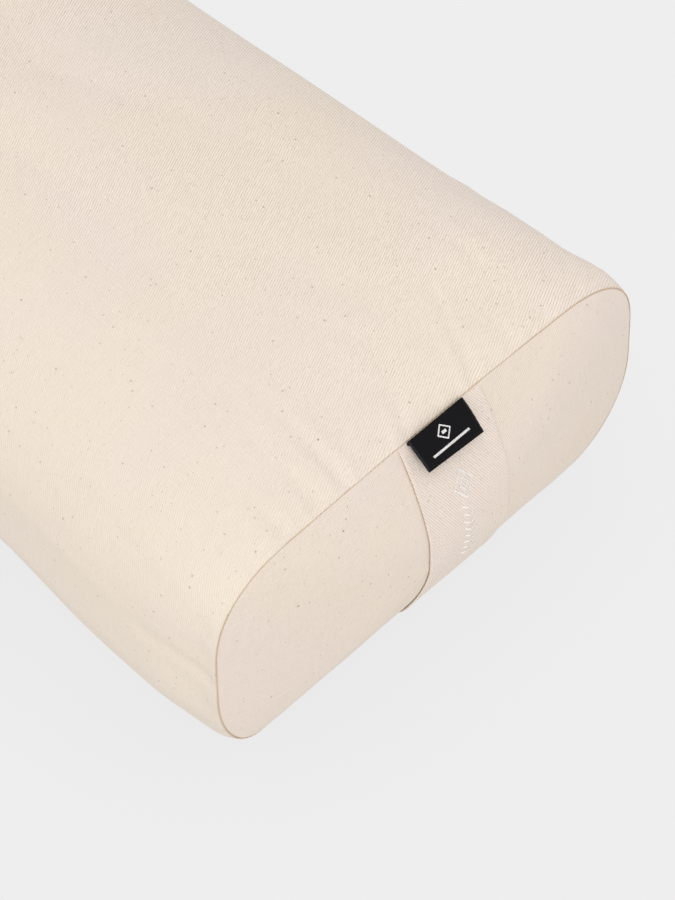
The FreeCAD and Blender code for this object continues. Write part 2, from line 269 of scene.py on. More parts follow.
# ================================================================ cloth relief
def pucker_field(puckers, s, dist):
    """Short dips square to a seam.
    Each is (place along the seam, half width, reach, depth, slant)."""
    out = np.zeros_like(dist)
    for place, half_width, reach, depth, slant in puckers:
        off = (s - place - slant * dist) / half_width
        shape = np.exp(-off * off) - 0.45 * np.exp(-((np.abs(off) - 1.7) ** 2) / 0.5)
        near_seam = 0.08 + 0.92 * (1 - np.exp(-dist / 3.5))
        out -= depth * shape * np.exp(-(dist / reach) ** 1.6) * near_seam
    return out


def random_puckers(places, widths, reaches, depths, slant):
    return [(place + rng.uniform(-6, 6), rng.uniform(*widths), rng.uniform(*reaches),
             rng.uniform(*depths), rng.uniform(-slant, slant)) for place in places]


def rolled(dist, radius, depth):
    """How far cloth turns in next to a sewn or folded edge."""
    t = np.clip(dist / radius, 0, 1)
    return depth * (1 - np.sqrt(np.maximum(1 - (1 - t) ** 2, 0)))


def seam_ripple(s, dist, height, reach, phase=0.0):
    """A slight ripple along a seam where the thread draws the cloth in."""
    wave = np.sin(s / 5.3 + 1.3 * np.sin(s / 37.0 + phase))
    return height * wave * np.exp(-(dist / reach) ** 1.5)


# Painted shade in the handle end's seam, by distance round from the crest (positive towards -Y)
TONE_S = [-400, -200, -150, -128, -90, -52, -30, 60, 84, 110, 134, 152, 400]
TONE = [0.7, 0.7, 0.6, 0.48, 0.28, 0.10, 0.05, 0.06, 0.14, 0.16, 0.30, 0.68, 0.75]
# painted shade in the plain end's seam, the same all round
PLAIN_TONE = 0.6


def seam_tone(s, sign):
    return np.interp(s, TONE_S, TONE) if sign > 0 else np.full_like(s, PLAIN_TONE)


def openness(tone):
    """How far the seam's groove opens: the darker the seam's painted shade, the deeper the groove.
    """
    return 0.25 + 0.75 * np.clip(tone / 0.7, 0, 1)


# ================================================================ meshes
def recalc_normals(mesh):
    bm = bmesh.new()
    bm.from_mesh(mesh)
    bmesh.ops.recalc_face_normals(bm, faces=bm.faces)
    bm.to_mesh(mesh)
    bm.free()


def add_object(name, data):
    piece = bpy.data.objects.new(name, data)
    bpy.context.scene.collection.objects.link(piece)
    return piece


def make_mesh(name, verts, quads, material, uv=None, attrs=None):
    """Smooth mesh from vertices, vertex indices and UVs per vertex."""
    mesh = bpy.data.meshes.new(name)
    mesh.vertices.add(len(verts))
    mesh.vertices.foreach_set("co", (verts * MM).astype(np.float32).ravel())
    quads = quads.astype(np.int32)
    mesh.loops.add(quads.size)
    mesh.loops.foreach_set("vertex_index", quads.ravel())
    mesh.polygons.add(len(quads))
    mesh.polygons.foreach_set("loop_start", (np.arange(len(quads)) * 4).astype(np.int32))
    mesh.polygons.foreach_set("loop_total", np.full(len(quads), 4, np.int32))
    mesh.update(calc_edges=True)
    if uv is not None:
        layer = mesh.uv_layers.new(name="cloth")
        layer.data.foreach_set("uv", (uv * MM)[quads.ravel()].astype(np.float32).ravel())
    for key, values in (attrs or {}).items():
        attribute = mesh.attributes.new(key, "FLOAT", "POINT")
        attribute.data.foreach_set("value", values.astype(np.float32))
    mesh.polygons.foreach_set("use_smooth", np.ones(len(quads), bool))
    recalc_normals(mesh)
    mesh.materials.append(material)
    return add_object(name, mesh)


def grid_faces(rows, cols, wrap=False, first=0):
    i, j = np.meshgrid(np.arange(rows - 1), np.arange(cols if wrap else cols - 1),
                       indexing="ij")
    i, j = i.ravel(), j.ravel()
    k = (j + 1) % cols
    return np.c_[i * cols + j, i * cols + k, (i + 1) * cols + k, (i + 1) * cols + j] + first


def shell(name, outer, inner, uv, material, wrap=False, attrs=None):
    """A closed sheet between two grids of the same shape."""
    rows, cols = outer.shape[:2]
    count = rows * cols
    verts = np.concatenate([outer.reshape(-1, 3), inner.reshape(-1, 3)])
    faces = [grid_faces(rows, cols, wrap), grid_faces(rows, cols, wrap, count)[:, ::-1]]
    index = np.arange(count).reshape(rows, cols)
    if wrap:
        index = np.c_[index, index[:, 0]]
    rims = [(index[0], 1), (index[-1], -1)]
    if not wrap:
        rims += [(index[:, 0], -1), (index[:, -1], 1)]
    for rim_line, turn in rims:
        a, b = rim_line[:-1], rim_line[1:]
        faces.append(np.c_[a, b, b + count, a + count][:, ::turn])
    attrs = {key: np.tile(values.ravel(), 2) for key, values in (attrs or {}).items()}
    return make_mesh(name, verts, np.concatenate(faces), material,
                     np.concatenate([uv.reshape(-1, 2)] * 2), attrs)


def cap(piece, firsts, count, smooth=True):
    """Closes the rings of count vertices that begin at firsts, each with one face, in place of
    any faces that lie between the rings."""
    bm = bmesh.new()
    bm.from_mesh(piece.data)
    bm.verts.ensure_lookup_table()
    rings = [[bm.verts[first + j] for j in range(count)] for first in firsts]
    ring_verts = set().union(*rings)
    between = [f for f in bm.faces if set(f.verts) <= ring_verts]
    if between:
        bmesh.ops.delete(bm, geom=between, context="FACES_ONLY")
    for ring in rings:
        bm.faces.new(ring).smooth = smooth
    bmesh.ops.recalc_face_normals(bm, faces=bm.faces)
    bm.to_mesh(piece.data)
    bm.free()


def cap_shell(piece, grid):
    """Closes the small hole in the last ring of a wrapped shell, on both faces."""
    rows, cols = grid.shape[:2]
    cap(piece, ((rows - 1) * cols, (2 * rows - 1) * cols), cols)


def thread_mesh(name, segments, radius, material, sides=7):
    """Rounded thread pieces, each from one point to another."""
    turn = np.linspace(0, math.pi / 2, 4)[:-1]
    cap_radii = np.maximum(np.sin(turn), 0.22)
    radii = radius * np.r_[cap_radii, 1, 1.03, 1, cap_radii[::-1]]
    cap_reach = 0.8 * radius * np.cos(turn)
    angle = np.linspace(0, TAU, sides, endpoint=False)
    verts, faces, first = [], [], 0
    for start, end in segments:
        start, end = np.array(start, float), np.array(end, float)
        length = np.linalg.norm(end - start)
        along = (end - start) / length
        helper = np.array([0, 0, 1.0] if abs(along[2]) < 0.9 else [1.0, 0, 0])
        u = np.cross(along, helper)
        u /= np.linalg.norm(u)
        ring = np.cos(angle)[:, None] * u + np.sin(angle)[:, None] * np.cross(along, u)
        steps = np.r_[-cap_reach, 0.02 * length, 0.5 * length, 0.98 * length,
                      length + cap_reach[::-1]]
        centres = start + steps[:, None] * along
        verts.append((centres[:, None] + radii[:, None, None] * ring).reshape(-1, 3))
        tip = along * radius * 0.1
        verts.append(np.array([centres[0] - tip, centres[-1] + tip]))
        faces += grid_faces(len(steps), sides, True, first).tolist()
        last = first + (len(steps) - 1) * sides
        tip0 = last + sides
        for k in range(sides):
            after = (k + 1) % sides
            faces += [(first + k, tip0, first + after), (last + k, last + after, tip0 + 1)]
        first = tip0 + 2
    mesh = bpy.data.meshes.new(name)
    mesh.from_pydata((np.concatenate(verts) * MM).tolist(), [], faces)
    mesh.polygons.foreach_set("use_smooth", np.ones(len(faces), bool))
    recalc_normals(mesh)
    mesh.materials.append(material)
    return add_object(name, mesh)


def satin(start, end, width, pitch, lean=0.5):
    """Short parallel threads laid across the line from start to end, on a flat pair of axes."""
    start, end = np.array(start, float), np.array(end, float)
    length = np.linalg.norm(end - start)
    along = (end - start) / length
    across = np.array([-along[1], along[0]])
    count = max(int(length / pitch), 2)
    threads = []
    for i in range(count + 1):
        centre = start + along * length * i / count
        varied = width * (1 + rng.uniform(-0.12, 0.12))
        half = across * varied / 2 + along * lean * varied / 2
        threads.append((centre - half, centre + half))
    return threads


def satin_diamond(u, v, half_u, half_v, *args):
    corners = [(u, v + half_v), (u + half_u, v), (u, v - half_v), (u - half_u, v)]
    threads = []
    for i in range(4):
        threads += satin(corners[i], corners[(i + 1) % 4], *args)
    return threads


def register(piece, slot, *replaced, on="bolster"):
    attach(piece, on)
    if replaced:
        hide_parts(*replaced)


# ================================================================ shader nodes
class Nodes:
    """A node tree with one surface shader linked to its output."""

    def __init__(self, owner, surface="ShaderNodeBsdfPrincipled",
                 output="ShaderNodeOutputMaterial"):
        owner.use_nodes = True
        self.owner = owner
        self.tree = owner.node_tree
        self.tree.nodes.clear()
        out = self.node(output)
        self.surface = self.node(surface)
        self.put(out.inputs[0], self.surface.outputs[0])

    def put(self, socket, value):
        """A number or a colour is set; an output is linked."""
        if isinstance(value, (int, float)):
            socket.default_value = value
        elif isinstance(value, tuple):
            socket.default_value = (*value, 1.0)
        else:
            self.tree.links.new(value, socket)

    def node(self, kind, inputs=None, **settings):
        node = self.tree.nodes.new(kind)
        for key, value in settings.items():
            setattr(node, key, value)
        for key, value in (inputs or {}).items():
            self.put(node.inputs[key], value)
        return node

    def set(self, **inputs):
        for key, value in inputs.items():
            self.put(self.surface.inputs[key.replace("_", " ")], value)

    def math(self, operation, *values, clamp=False):
        return self.node("ShaderNodeMath", dict(enumerate(values)),
                         operation=operation, use_clamp=clamp).outputs[0]

    def add(self, a, b, clamp=False):
        return self.math("ADD", a, b, clamp=clamp)

    def sub(self, a, b):
        return self.math("SUBTRACT", a, b)

    def mul(self, a, b, clamp=False):
        return self.math("MULTIPLY", a, b, clamp=clamp)

    def scaled(self, value, factor, offset):
        return self.add(self.mul(value, factor), offset)

    def swing(self, value, size):
        """A 0 to 1 value turned into one that swings either side of zero."""
        return self.mul(self.sub(value, 0.5), size)

    def unit_sine(self, phase):
        return self.scaled(self.math("SINE", phase), 0.5, 0.5)

    def split(self, vector):
        return self.node("ShaderNodeSeparateXYZ", {0: vector}).outputs

    def uv(self):
        x, y, _ = self.split(self.node("ShaderNodeUVMap", uv_map="cloth").outputs[0])
        return x, y

    def object_coords(self):
        return self.node("ShaderNodeTexCoord").outputs["Object"]

    def vec(self, x, y, z=0.0):
        return self.node("ShaderNodeCombineXYZ", {0: x, 1: y, 2: z}).outputs[0]

    def noise(self, vector, scale, detail=2.0, rough=0.5):
        return self.node("ShaderNodeTexNoise", {
            "Vector": vector, "Scale": scale, "Detail": detail, "Roughness": rough}).outputs[0]

    def ramp(self, value, low, high, to_low=0.0, to_high=1.0):
        return self.node("ShaderNodeMapRange", {0: value, 1: low, 2: high, 3: to_low, 4: to_high},
                         clamp=True, interpolation_type="SMOOTHSTEP").outputs[0]

    def mix(self, share, a, b, blend="MIX"):
        return self.node("ShaderNodeMix", {0: share, 6: a, 7: b},
                         data_type="RGBA", blend_type=blend).outputs[2]

    def brighten(self, colour, factor):
        return self.node("ShaderNodeHueSaturation",
                         {"Color": colour, "Value": factor}).outputs[0]

    def bump(self, height, strength, distance):
        return self.node("ShaderNodeBump", {
            "Strength": strength, "Distance": distance, "Height": height}).outputs[0]

    def attr(self, name):
        return self.node("ShaderNodeAttribute", attribute_name=name).outputs["Fac"]

    def cells(self, vector, scale, **settings):
        """Voronoi cells: the distance to each centre, and three random values per cell."""
        cells = self.node("ShaderNodeTexVoronoi", {"Vector": vector, "Scale": scale}, **settings)
        values = self.node("ShaderNodeSeparateColor", {0: cells.outputs["Color"]}).outputs
        return cells.outputs["Distance"], values


def new_material(name, *args):
    return Nodes(bpy.data.materials.new(name), *args)


def srgb(*rgb):
    values = (v / 255.0 for v in rgb)
    return tuple(c / 12.92 if c <= 0.04045 else ((c + 0.055) / 1.055) ** 2.4 for c in values)


def darker(colour, factor):
    return tuple(c * factor for c in colour)


# ================================================================ materials (lengths in metres)
# Bits of cotton seed: cells per metre, share kept, size in cells, colour, strength
FLECKS = (
    (125.0, 0.50, 0.052, (0.38, 0.28, 0.19), 0.56),
    (210.0, 0.38, 0.064, (0.48, 0.37, 0.28), 0.50),
    (66.0, 0.55, 0.031, (0.28, 0.20, 0.14), 0.62),
    (32.0, 0.34, 0.018, (0.22, 0.16, 0.12), 0.66),
)


def add_flecks(m, colour, x, s, seed, fuzz):
    for k, (scale, keep, size, tint, strength) in enumerate(FLECKS):
        wavy_x = m.add(x, m.swing(fuzz, 0.0006))
        place = m.vec(m.add(wavy_x, seed * 0.37 + k * 1.3), m.mul(s, 0.78 + 0.12 * k))
        distance, values = m.cells(place, scale, voronoi_dimensions="2D")
        chosen = m.math("LESS_THAN", values[0], keep)
        radius = m.scaled(values[1], size, size * 0.55)
        inside = m.ramp(m.sub(radius, distance), low=0.0, high=size * 0.55)
        opacity = m.mul(m.scaled(values[2], 0.7, 0.3), strength)
        colour = m.mix(m.mul(m.mul(chosen, inside), opacity), colour, tint)
    return colour


def twill(name, base, direction, seed, contrast=1.0):
    """Unbleached cotton drill. direction: the way the twill line runs on the cloth."""
    wale_pitch, yarn_pitch = 1.235, 0.86        # mm
    m = new_material(name)
    x, s = m.uv()
    length = math.hypot(*direction)
    dir_x, dir_s = (d / length for d in direction)

    def cloth_noise(shift, scale, detail=2.0, rough=0.5):
        return m.noise(m.vec(x, s, seed + shift), scale, detail, rough)

    def streaks(x_scale, s_scale, shift):
        place = m.vec(m.mul(x, x_scale), m.mul(s, s_scale), seed + shift)
        return m.noise(place, scale=1.0, rough=0.6)

    # distances in mm across and along the twill line, with a slow and a fine wobble
    slow = cloth_noise(0, scale=22.0)
    fine = cloth_noise(3.1, scale=420.0, detail=1.0)
    across = m.add(m.mul(x, dir_s * 1000), m.mul(s, -dir_x * 1000))
    across = m.add(across, m.mul(slow, 2.2))
    across = m.add(across, m.mul(fine, 0.30))
    along = m.add(m.mul(x, dir_x * 1000), m.mul(s, dir_s * 1000))
    phase = m.mul(across, TAU / wale_pitch)
    wale = m.unit_sine(phase)
    yarn = m.unit_sine(m.add(m.mul(along, TAU / yarn_pitch), phase))
    dash = m.noise(m.vec(m.mul(along, 0.42), m.mul(across, 0.95), seed + 5),
                   scale=1.0, detail=1.0, rough=0.6)
    dash = m.ramp(dash, low=0.30, high=0.70, to_low=0.25, to_high=1.55)
    yarn_height = m.mul(m.mul(yarn, m.scaled(wale, 0.6, 0.4)), 0.28)
    height = m.add(m.mul(wale, 0.72), yarn_height)

    warp = streaks(x_scale=2400.0, s_scale=60.0, shift=0)
    weft = streaks(x_scale=50.0, s_scale=2200.0, shift=7)
    blot = cloth_noise(11, scale=7.0, detail=3.0)
    fuzz = cloth_noise(17, scale=1500.0, rough=0.7)
    patch = cloth_noise(19, scale=16.0)
    light = tuple(min(0.97, c * 1.10) for c in base)
    dark = tuple(c * k for c, k in zip(base, (0.755, 0.73, 0.705)))
    # the weave shows more in some patches and less where the cloth is marked calm
    amount = m.mul(m.ramp(patch, low=0.30, high=0.72, to_low=0.6, to_high=1.2), contrast)
    amount = m.mul(amount, m.sub(1.0, m.attr("calm")))
    shade = m.mul(m.mul(m.sub(0.5, height), amount), dash)
    colour = m.mix(m.add(0.5, shade, clamp=True), light, dark)
    tone = m.add(m.swing(warp, 0.13), m.swing(weft, 0.10))
    tone = m.add(tone, m.swing(blot, 0.018))
    tone = m.add(tone, m.swing(fuzz, 0.09))
    colour = m.brighten(colour, m.add(tone, 1.0))

    # a touch pinker in some places and yellower in others
    tint = cloth_noise(31, scale=11.0)
    colour = m.mix(m.ramp(tint, low=0.38, high=0.66),
                   m.mix(1.0, colour, (1.0, 0.995, 1.012), "MULTIPLY"),
                   m.mix(1.0, colour, (1.004, 1.0, 0.978), "MULTIPLY"))
    colour = add_flecks(m, colour, x, s, seed, fuzz)
    # tan shadow in the seams and along sewn edges
    shadow = m.mul(m.attr("seam"), 0.93, clamp=True)
    colour = m.mix(shadow, colour, srgb(190, 158, 120))
    relief = m.add(height, m.mul(m.add(warp, m.add(weft, fuzz)), 0.2))
    m.set(Base_Color=colour, Roughness=0.88,
          Normal=m.bump(relief, strength=0.5 * contrast, distance=0.00025),
          Sheen_Weight=0.15, Sheen_Roughness=0.5, Sheen_Tint=(1.0, 0.97, 0.93),
          Specular_IOR_Level=0.15)
    return m.owner


def thread_material(name, colour, sheen=0.2, low=0.8):
    """Twisted thread; low is the brightness between the strands."""
    m = new_material(name)
    place = m.object_coords()
    noise = m.noise(place, scale=900.0)
    twist = m.node("ShaderNodeTexWave", {"Vector": place, "Scale": 500.0, "Distortion": 1.5},
                   wave_type="BANDS", bands_direction="DIAGONAL").outputs[1]
    strands = m.mix(twist, darker(colour, low), colour)
    m.set(Base_Color=m.brighten(strands, m.scaled(noise, 0.2, 0.9)), Roughness=0.55,
          Normal=m.bump(twist, strength=0.5, distance=0.0001), Sheen_Weight=sheen)
    return m.owner


def plain_weave(name, colour, pitch, rough=0.85):
    """Even over-and-under weave; pitch in mm."""
    m = new_material(name)
    place = m.object_coords()
    x, y, z = m.split(place)
    frequency = TAU / (pitch * MM)
    a = m.math("SINE", m.mul(x, frequency))
    b = m.math("SINE", m.mul(m.add(y, z), frequency))
    height = m.scaled(m.mul(a, b), 0.5, 0.5)
    noise = m.noise(place, scale=260.0, detail=3.0)
    weave = m.mix(height, darker(colour, 0.86), colour)
    m.set(Base_Color=m.brighten(weave, m.scaled(noise, 0.16, 0.92)), Roughness=rough,
          Normal=m.bump(height, strength=0.5, distance=0.00012), Sheen_Weight=0.15)
    return m.owner


def coil_material():
    m = new_material("zip_nylon")
    noise = m.noise(m.object_coords(), scale=400.0)
    colour = m.brighten(srgb(229, 219, 202), m.scaled(noise, 0.12, 0.94))
    m.set(Base_Color=colour, Roughness=0.32, Subsurface_Weight=0.05,
          Normal=m.bump(noise, strength=0.15, distance=0.0001))
    return m.owner


def metal_material():
    m = new_material("zip_nickel")
    place = m.object_coords()
    x, y, z = m.split(place)
    noise = m.noise(place, scale=120.0, detail=4.0, rough=0.6)
    scratches = m.noise(m.vec(m.mul(x, 300.0), m.mul(y, 2600.0), m.mul(z, 2600.0)), scale=1.0)
    pointiness = m.node("ShaderNodeNewGeometry").outputs["Pointiness"]
    edge = m.ramp(pointiness, low=0.5, high=0.56)
    colour = m.mix(m.mul(noise, 0.5), (0.62, 0.60, 0.57), (0.46, 0.44, 0.42))
    m.set(Base_Color=m.mix(edge, colour, (0.78, 0.77, 0.75)), Metallic=1.0,
          Roughness=m.scaled(noise, 0.25, 0.2),
          Normal=m.bump(scratches, strength=0.12, distance=0.00005))
    return m.owner


def hull_material():
    m = new_material("buckwheat_hulls")
    distance, values = m.cells(m.object_coords(), scale=230.0)
    height = m.sub(1.0, distance)
    m.set(Base_Color=m.mix(values[0], srgb(54, 38, 28), srgb(104, 76, 52)), Roughness=0.6,
          Normal=m.bump(height, strength=0.9, distance=0.0015))
    return m.owner


def label_material():
    m = new_material("label_satin")
    x, s = m.uv()
    frequency = TAU / 0.00034
    ribs = m.unit_sine(m.mul(s, frequency))
    cross_ribs = m.unit_sine(m.mul(x, frequency * 0.7))
    noise = m.noise(m.vec(x, s, 2.0), scale=700.0, detail=3.0)
    height = m.add(m.mul(ribs, 0.7), m.mul(cross_ribs, 0.3))
    colour = m.mix(height, (0.0025, 0.0025, 0.003), (0.008, 0.008, 0.009))
    colour = m.brighten(colour, m.scaled(noise, 0.5, 0.75))
    m.set(Base_Color=m.mix(m.attr("seam"), colour, (0.030, 0.030, 0.032)), Roughness=0.62,
          Normal=m.bump(height, strength=0.35, distance=0.00008),
          Sheen_Weight=0.0, Specular_IOR_Level=0.10)
    return m.owner


# the body drill's colour painted a little darker: painted shade on both end panels
END_COLOUR_SHADED = srgb(239, 227, 212)
DRILL_BODY = twill("drill_body", srgb(242, 231, 215), direction=(0.407, 0.913), seed=0.0)
DRILL_END = twill("drill_end", END_COLOUR_SHADED, direction=(0.88, 0.47), seed=40.0, contrast=0.55)
DRILL_PLAIN_END = twill("drill_end_plain", END_COLOUR_SHADED, direction=(0.88, 0.47), seed=60.0,
                        contrast=0.6)
DRILL_STRAP = twill("drill_strap", srgb(241, 229, 215), direction=(-0.47, 0.883), seed=80.0)
THREAD_TAN = thread_material("thread_tan", srgb(214, 188, 154))
THREAD_CREAM = thread_material("thread_cream", srgb(232, 220, 200))
THREAD_WHITE = thread_material("thread_white", srgb(254, 252, 247), sheen=0.45, low=0.93)
ZIP_TAPE = plain_weave("zip_tape_weave", srgb(226, 214, 194), pitch=0.6)
CALICO = plain_weave("calico_weave", srgb(236, 228, 212), pitch=0.5)
CARE_SATIN = plain_weave("care_satin", srgb(244, 243, 240), pitch=0.28, rough=0.45)
ZIP_COIL = coil_material()
ZIP_METAL = metal_material()
HULLS = hull_material()
LABEL_SATIN = label_material()

# ================================================================ body panel of the cover
# Distances of the finer rows from the end seams, and of the columns in the hem from the zip
SEAM_STEPS = np.array([0, 0.2, 0.42, 0.7, 1.1, 1.7, 2.5, 3.4, 4.6, 6.0, 7.8, 10, 12.5])
HEM_STEPS = np.array([0, 0.3, 0.7, 1.2, 1.8, 2.3, 2.8, 3.3, 4.0, 5.2])
BODY_STEP, BODY_COLS = 5.2, 316


def body_stations():
    inner_x = X_SEAM - SEAM_STEPS[-1]
    outer_x = X_SEAM - SEAM_STEPS[:-1]
    count = int(round(2 * inner_x / BODY_STEP))
    return np.r_[-outer_x, np.linspace(-inner_x, inner_x, count + 1), outer_x[::-1]]


BODY_X = body_stations()
half_gap = opening_half(BODY_X, SLOT_X0, SLOT_X1, fade=9.0, closed=0.06, half=6.2)
body_base, body_s = slit_tube(BODY_X, half_gap, HEM_STEPS, 7.5, BODY_COLS)
body_x = np.repeat(BODY_X[:, None], BODY_COLS, 1)
body_girth = np.array([girth(x) for x in BODY_X])[:, None]
half = BODY_COLS // 2
crest = np.array([np.interp(0, -row[:half, 1], s[:half]) for row, s in zip(body_base, body_s)])
CREST_AT_SEAM = crest[-1]
from_crest = body_s - crest[:, None]
lean_ends(body_base)
body_normals = grid_normals(body_base)
body_normals = facing(body_normals, body_normals[len(BODY_X) // 2, BODY_COLS // 4, 2])

# (place from the crest, half width, reach, depth, slant)
HANDLE_END_PUCKERS = [
    (54, 4.0, 34, 1.9, 0), (73, 4.0, 24, 1.6, 0), (96, 4.2, 20, 1.4, 0),
    (-36, 3.6, 44, 1.5, -0.4), (12.7, 3.6, 28, 1.2, -0.53), (192, 4.6, 46, 1.2, 0.08),
    (116, 4.6, 16, 0.6, 0.1), (36, 5, 12, 0.3, 0), (134, 5, 14, 0.3, 0), (160, 4.4, 12, 0.5, 0),
    (216, 6, 16, 0.6, 0.1), (242, 6, 16, 0.5, 0), (-66, 5, 20, 0.6, 0), (-92, 5, 18, 0.6, 0),
    (-114, 4.4, 15, 0.5, 0), (-136, 4.2, 18, 0.5, 0), (-158, 3.8, 20, 0.7, 0),
    (-180, 4, 26, 0.9, 0), (-206, 5, 20, 0.9, 0), (-236, 6, 26, 0.9, 0)]
PLAIN_END_PUCKERS = random_puckers(np.arange(-250, 251, 23.0), widths=(3.8, 6.4),
                                   reaches=(18, 36), depths=(0.6, 1.4), slant=0.1)

to_handle_end, to_plain_end = X_SEAM - body_x, X_SEAM + body_x
to_seam = np.minimum(to_handle_end, to_plain_end)
to_hem = np.minimum(body_s - half_gap[:, None], body_girth - body_s - half_gap[:, None])
# relief is held back beside the zip and on the underside
zip_free = np.where(body_base[..., 1] > 0,
                    smooth_step((np.abs(body_base[..., 2] - ZIP_Z) - 13) / 14), 1.0)
zip_free = np.maximum(zip_free, smooth_step((np.abs(body_x) - 250) / 22))
relief_share = zip_free * np.where(body_normals[..., 2] < -0.5, 0.12, 1.0)


def tube_to_tips(base):
    """Vertices and faces of a wrapped grid closed by a bulging fan at each end."""
    rows, cols = base.shape[:2]
    verts = [base.reshape(-1, 3)]
    faces = [grid_faces(rows, cols, True)]
    ring_index = np.arange(cols)
    after = np.roll(ring_index, -1)
    first = rows * cols
    for sign, row in ((1, rows - 1), (-1, 0)):
        x, y, z = base[row].T
        previous = ring_index + row * cols
        for k in np.linspace(1, 0, 22)[1:-1]:
            ring_x = x * k + sign * X_SEAM * (1 - k) + sign * bulge(k)
            verts.append(points(ring_x, *shrunk(y, z, k, SEAM_MID_Z)))
            current = ring_index + first
            first += cols
            quads = np.c_[previous, previous[after], current[after], current]
            faces.append(quads[:, ::sign])
            previous = current
        verts.append(np.array([[sign * (X_SEAM + CROWN), 0, SEAM_MID_Z]]))
        tip = np.full(cols, first)
        faces.append(np.c_[previous, previous[after], tip, tip][:, ::sign])
        first += 1
    return np.concatenate(verts), np.concatenate(faces)


def blow_up_cover():
    """Inflates the sewn cover as cloth, with its seams, underside and zip held. Gives the
    stations and how far the cloth moved along its normals."""
    cols, rows, frames = 216, 92, 20
    t = np.linspace(-1, 1, rows)
    xs = X_SEAM * np.sign(t) * (1 - (1 - np.abs(t)) ** 1.35)
    base = even_tube(xs, cols)
    lean_ends(base)
    verts, faces = tube_to_tips(base)
    mesh = bpy.data.meshes.new("sim")
    # dict.fromkeys drops the doubled tip, which leaves triangles
    mesh.from_pydata((verts * MM).tolist(), [], [tuple(dict.fromkeys(f)) for f in faces.tolist()])
    recalc_normals(mesh)
    cover = add_object("sim", mesh)

    zip_band = ((verts[:, 1] > 0) & (np.abs(verts[:, 2] - ZIP_Z) < 20)
                & (np.abs(verts[:, 0]) < 250))
    held = zip_band | (verts[:, 2] < 1.5)
    held[:cols] = True
    held[(rows - 1) * cols:rows * cols] = True
    pin = cover.vertex_groups.new(name="pin")
    pin.add(np.nonzero(held)[0].tolist(), 1.0, "REPLACE")

    cloth = cover.modifiers.new("cloth", "CLOTH")
    settings = cloth.settings
    settings.quality = 4
    settings.mass = 0.35
    settings.tension_stiffness = settings.compression_stiffness = 18
    settings.shear_stiffness = 6
    settings.bending_stiffness = 0.12
    settings.tension_damping = settings.compression_damping = 8
    settings.air_damping = 2
    settings.use_pressure = True
    settings.uniform_pressure_force = 4.0
    settings.shrink_min = -0.022        # negative: the cloth grows
    settings.vertex_group_mass = "pin"
    settings.effector_weights.gravity = 0.0
    cloth.collision_settings.use_self_collision = False
    cloth.collision_settings.use_collision = False
    scene = bpy.context.scene
    scene.frame_start, scene.frame_end = 1, frames
    cloth.point_cache.frame_start, cloth.point_cache.frame_end = 1, frames
    for frame_number in range(1, frames + 1):
        scene.frame_set(frame_number)

    evaluated = cover.evaluated_get(bpy.context.evaluated_depsgraph_get())
    moved = np.zeros(len(verts) * 3, np.float32)
    evaluated.to_mesh().vertices.foreach_get("co", moved)
    moved = moved.reshape(-1, 3) / MM
    evaluated.to_mesh_clear()
    scene.frame_set(1)
    bpy.data.objects.remove(cover)
    bpy.data.meshes.remove(mesh)
    normals = grid_normals(base, True)
    normals = facing(normals, normals[rows // 2, cols // 4, 2])
    return xs, ((moved[:rows * cols].reshape(rows, cols, 3) - base) * normals).sum(2)


def sample_wrapped(xs, field, x, share):
    """Bilinear look-up of a field given over (station, share of the way round)."""
    cols = field.shape[1]
    i = np.clip(np.searchsorted(xs, x) - 1, 0, len(xs) - 2)
    t = np.clip((x - xs[i]) / (xs[i + 1] - xs[i]), 0, 1)
    u = (share % 1.0) * cols
    j = np.floor(u).astype(int) % cols
    k = (j + 1) % cols
    w = u - np.floor(u)
    return ((1 - t) * ((1 - w) * field[i, j] + w * field[i, k])
            + t * ((1 - w) * field[i + 1, j] + w * field[i + 1, k]))


def cloth_wrinkles():
    """The inflated cover's wrinkles without its overall growth, capped, on the body's grid."""
    reach, limit = 9, 1.6
    xs, moved = blow_up_cover()
    wide = moved.copy()
    for _ in range(3):
        wide = sum(np.roll(wide, r, 1) for r in range(-reach, reach + 1)) / (2 * reach + 1)
    for _ in range(6):
        wide[1:-1] = (wide[:-2] + wide[1:-1] + wide[2:]) / 3
    fine = np.clip(moved - wide, -limit, limit)
    # stronger towards the plain end
    strength = 0.26 + 0.34 * smooth_step((-40 - body_x) / 120)
    wrinkles = sample_wrapped(xs, fine, body_x, body_s / body_girth)
    return wrinkles * relief_share * smooth_step(to_seam / 3.0) * strength


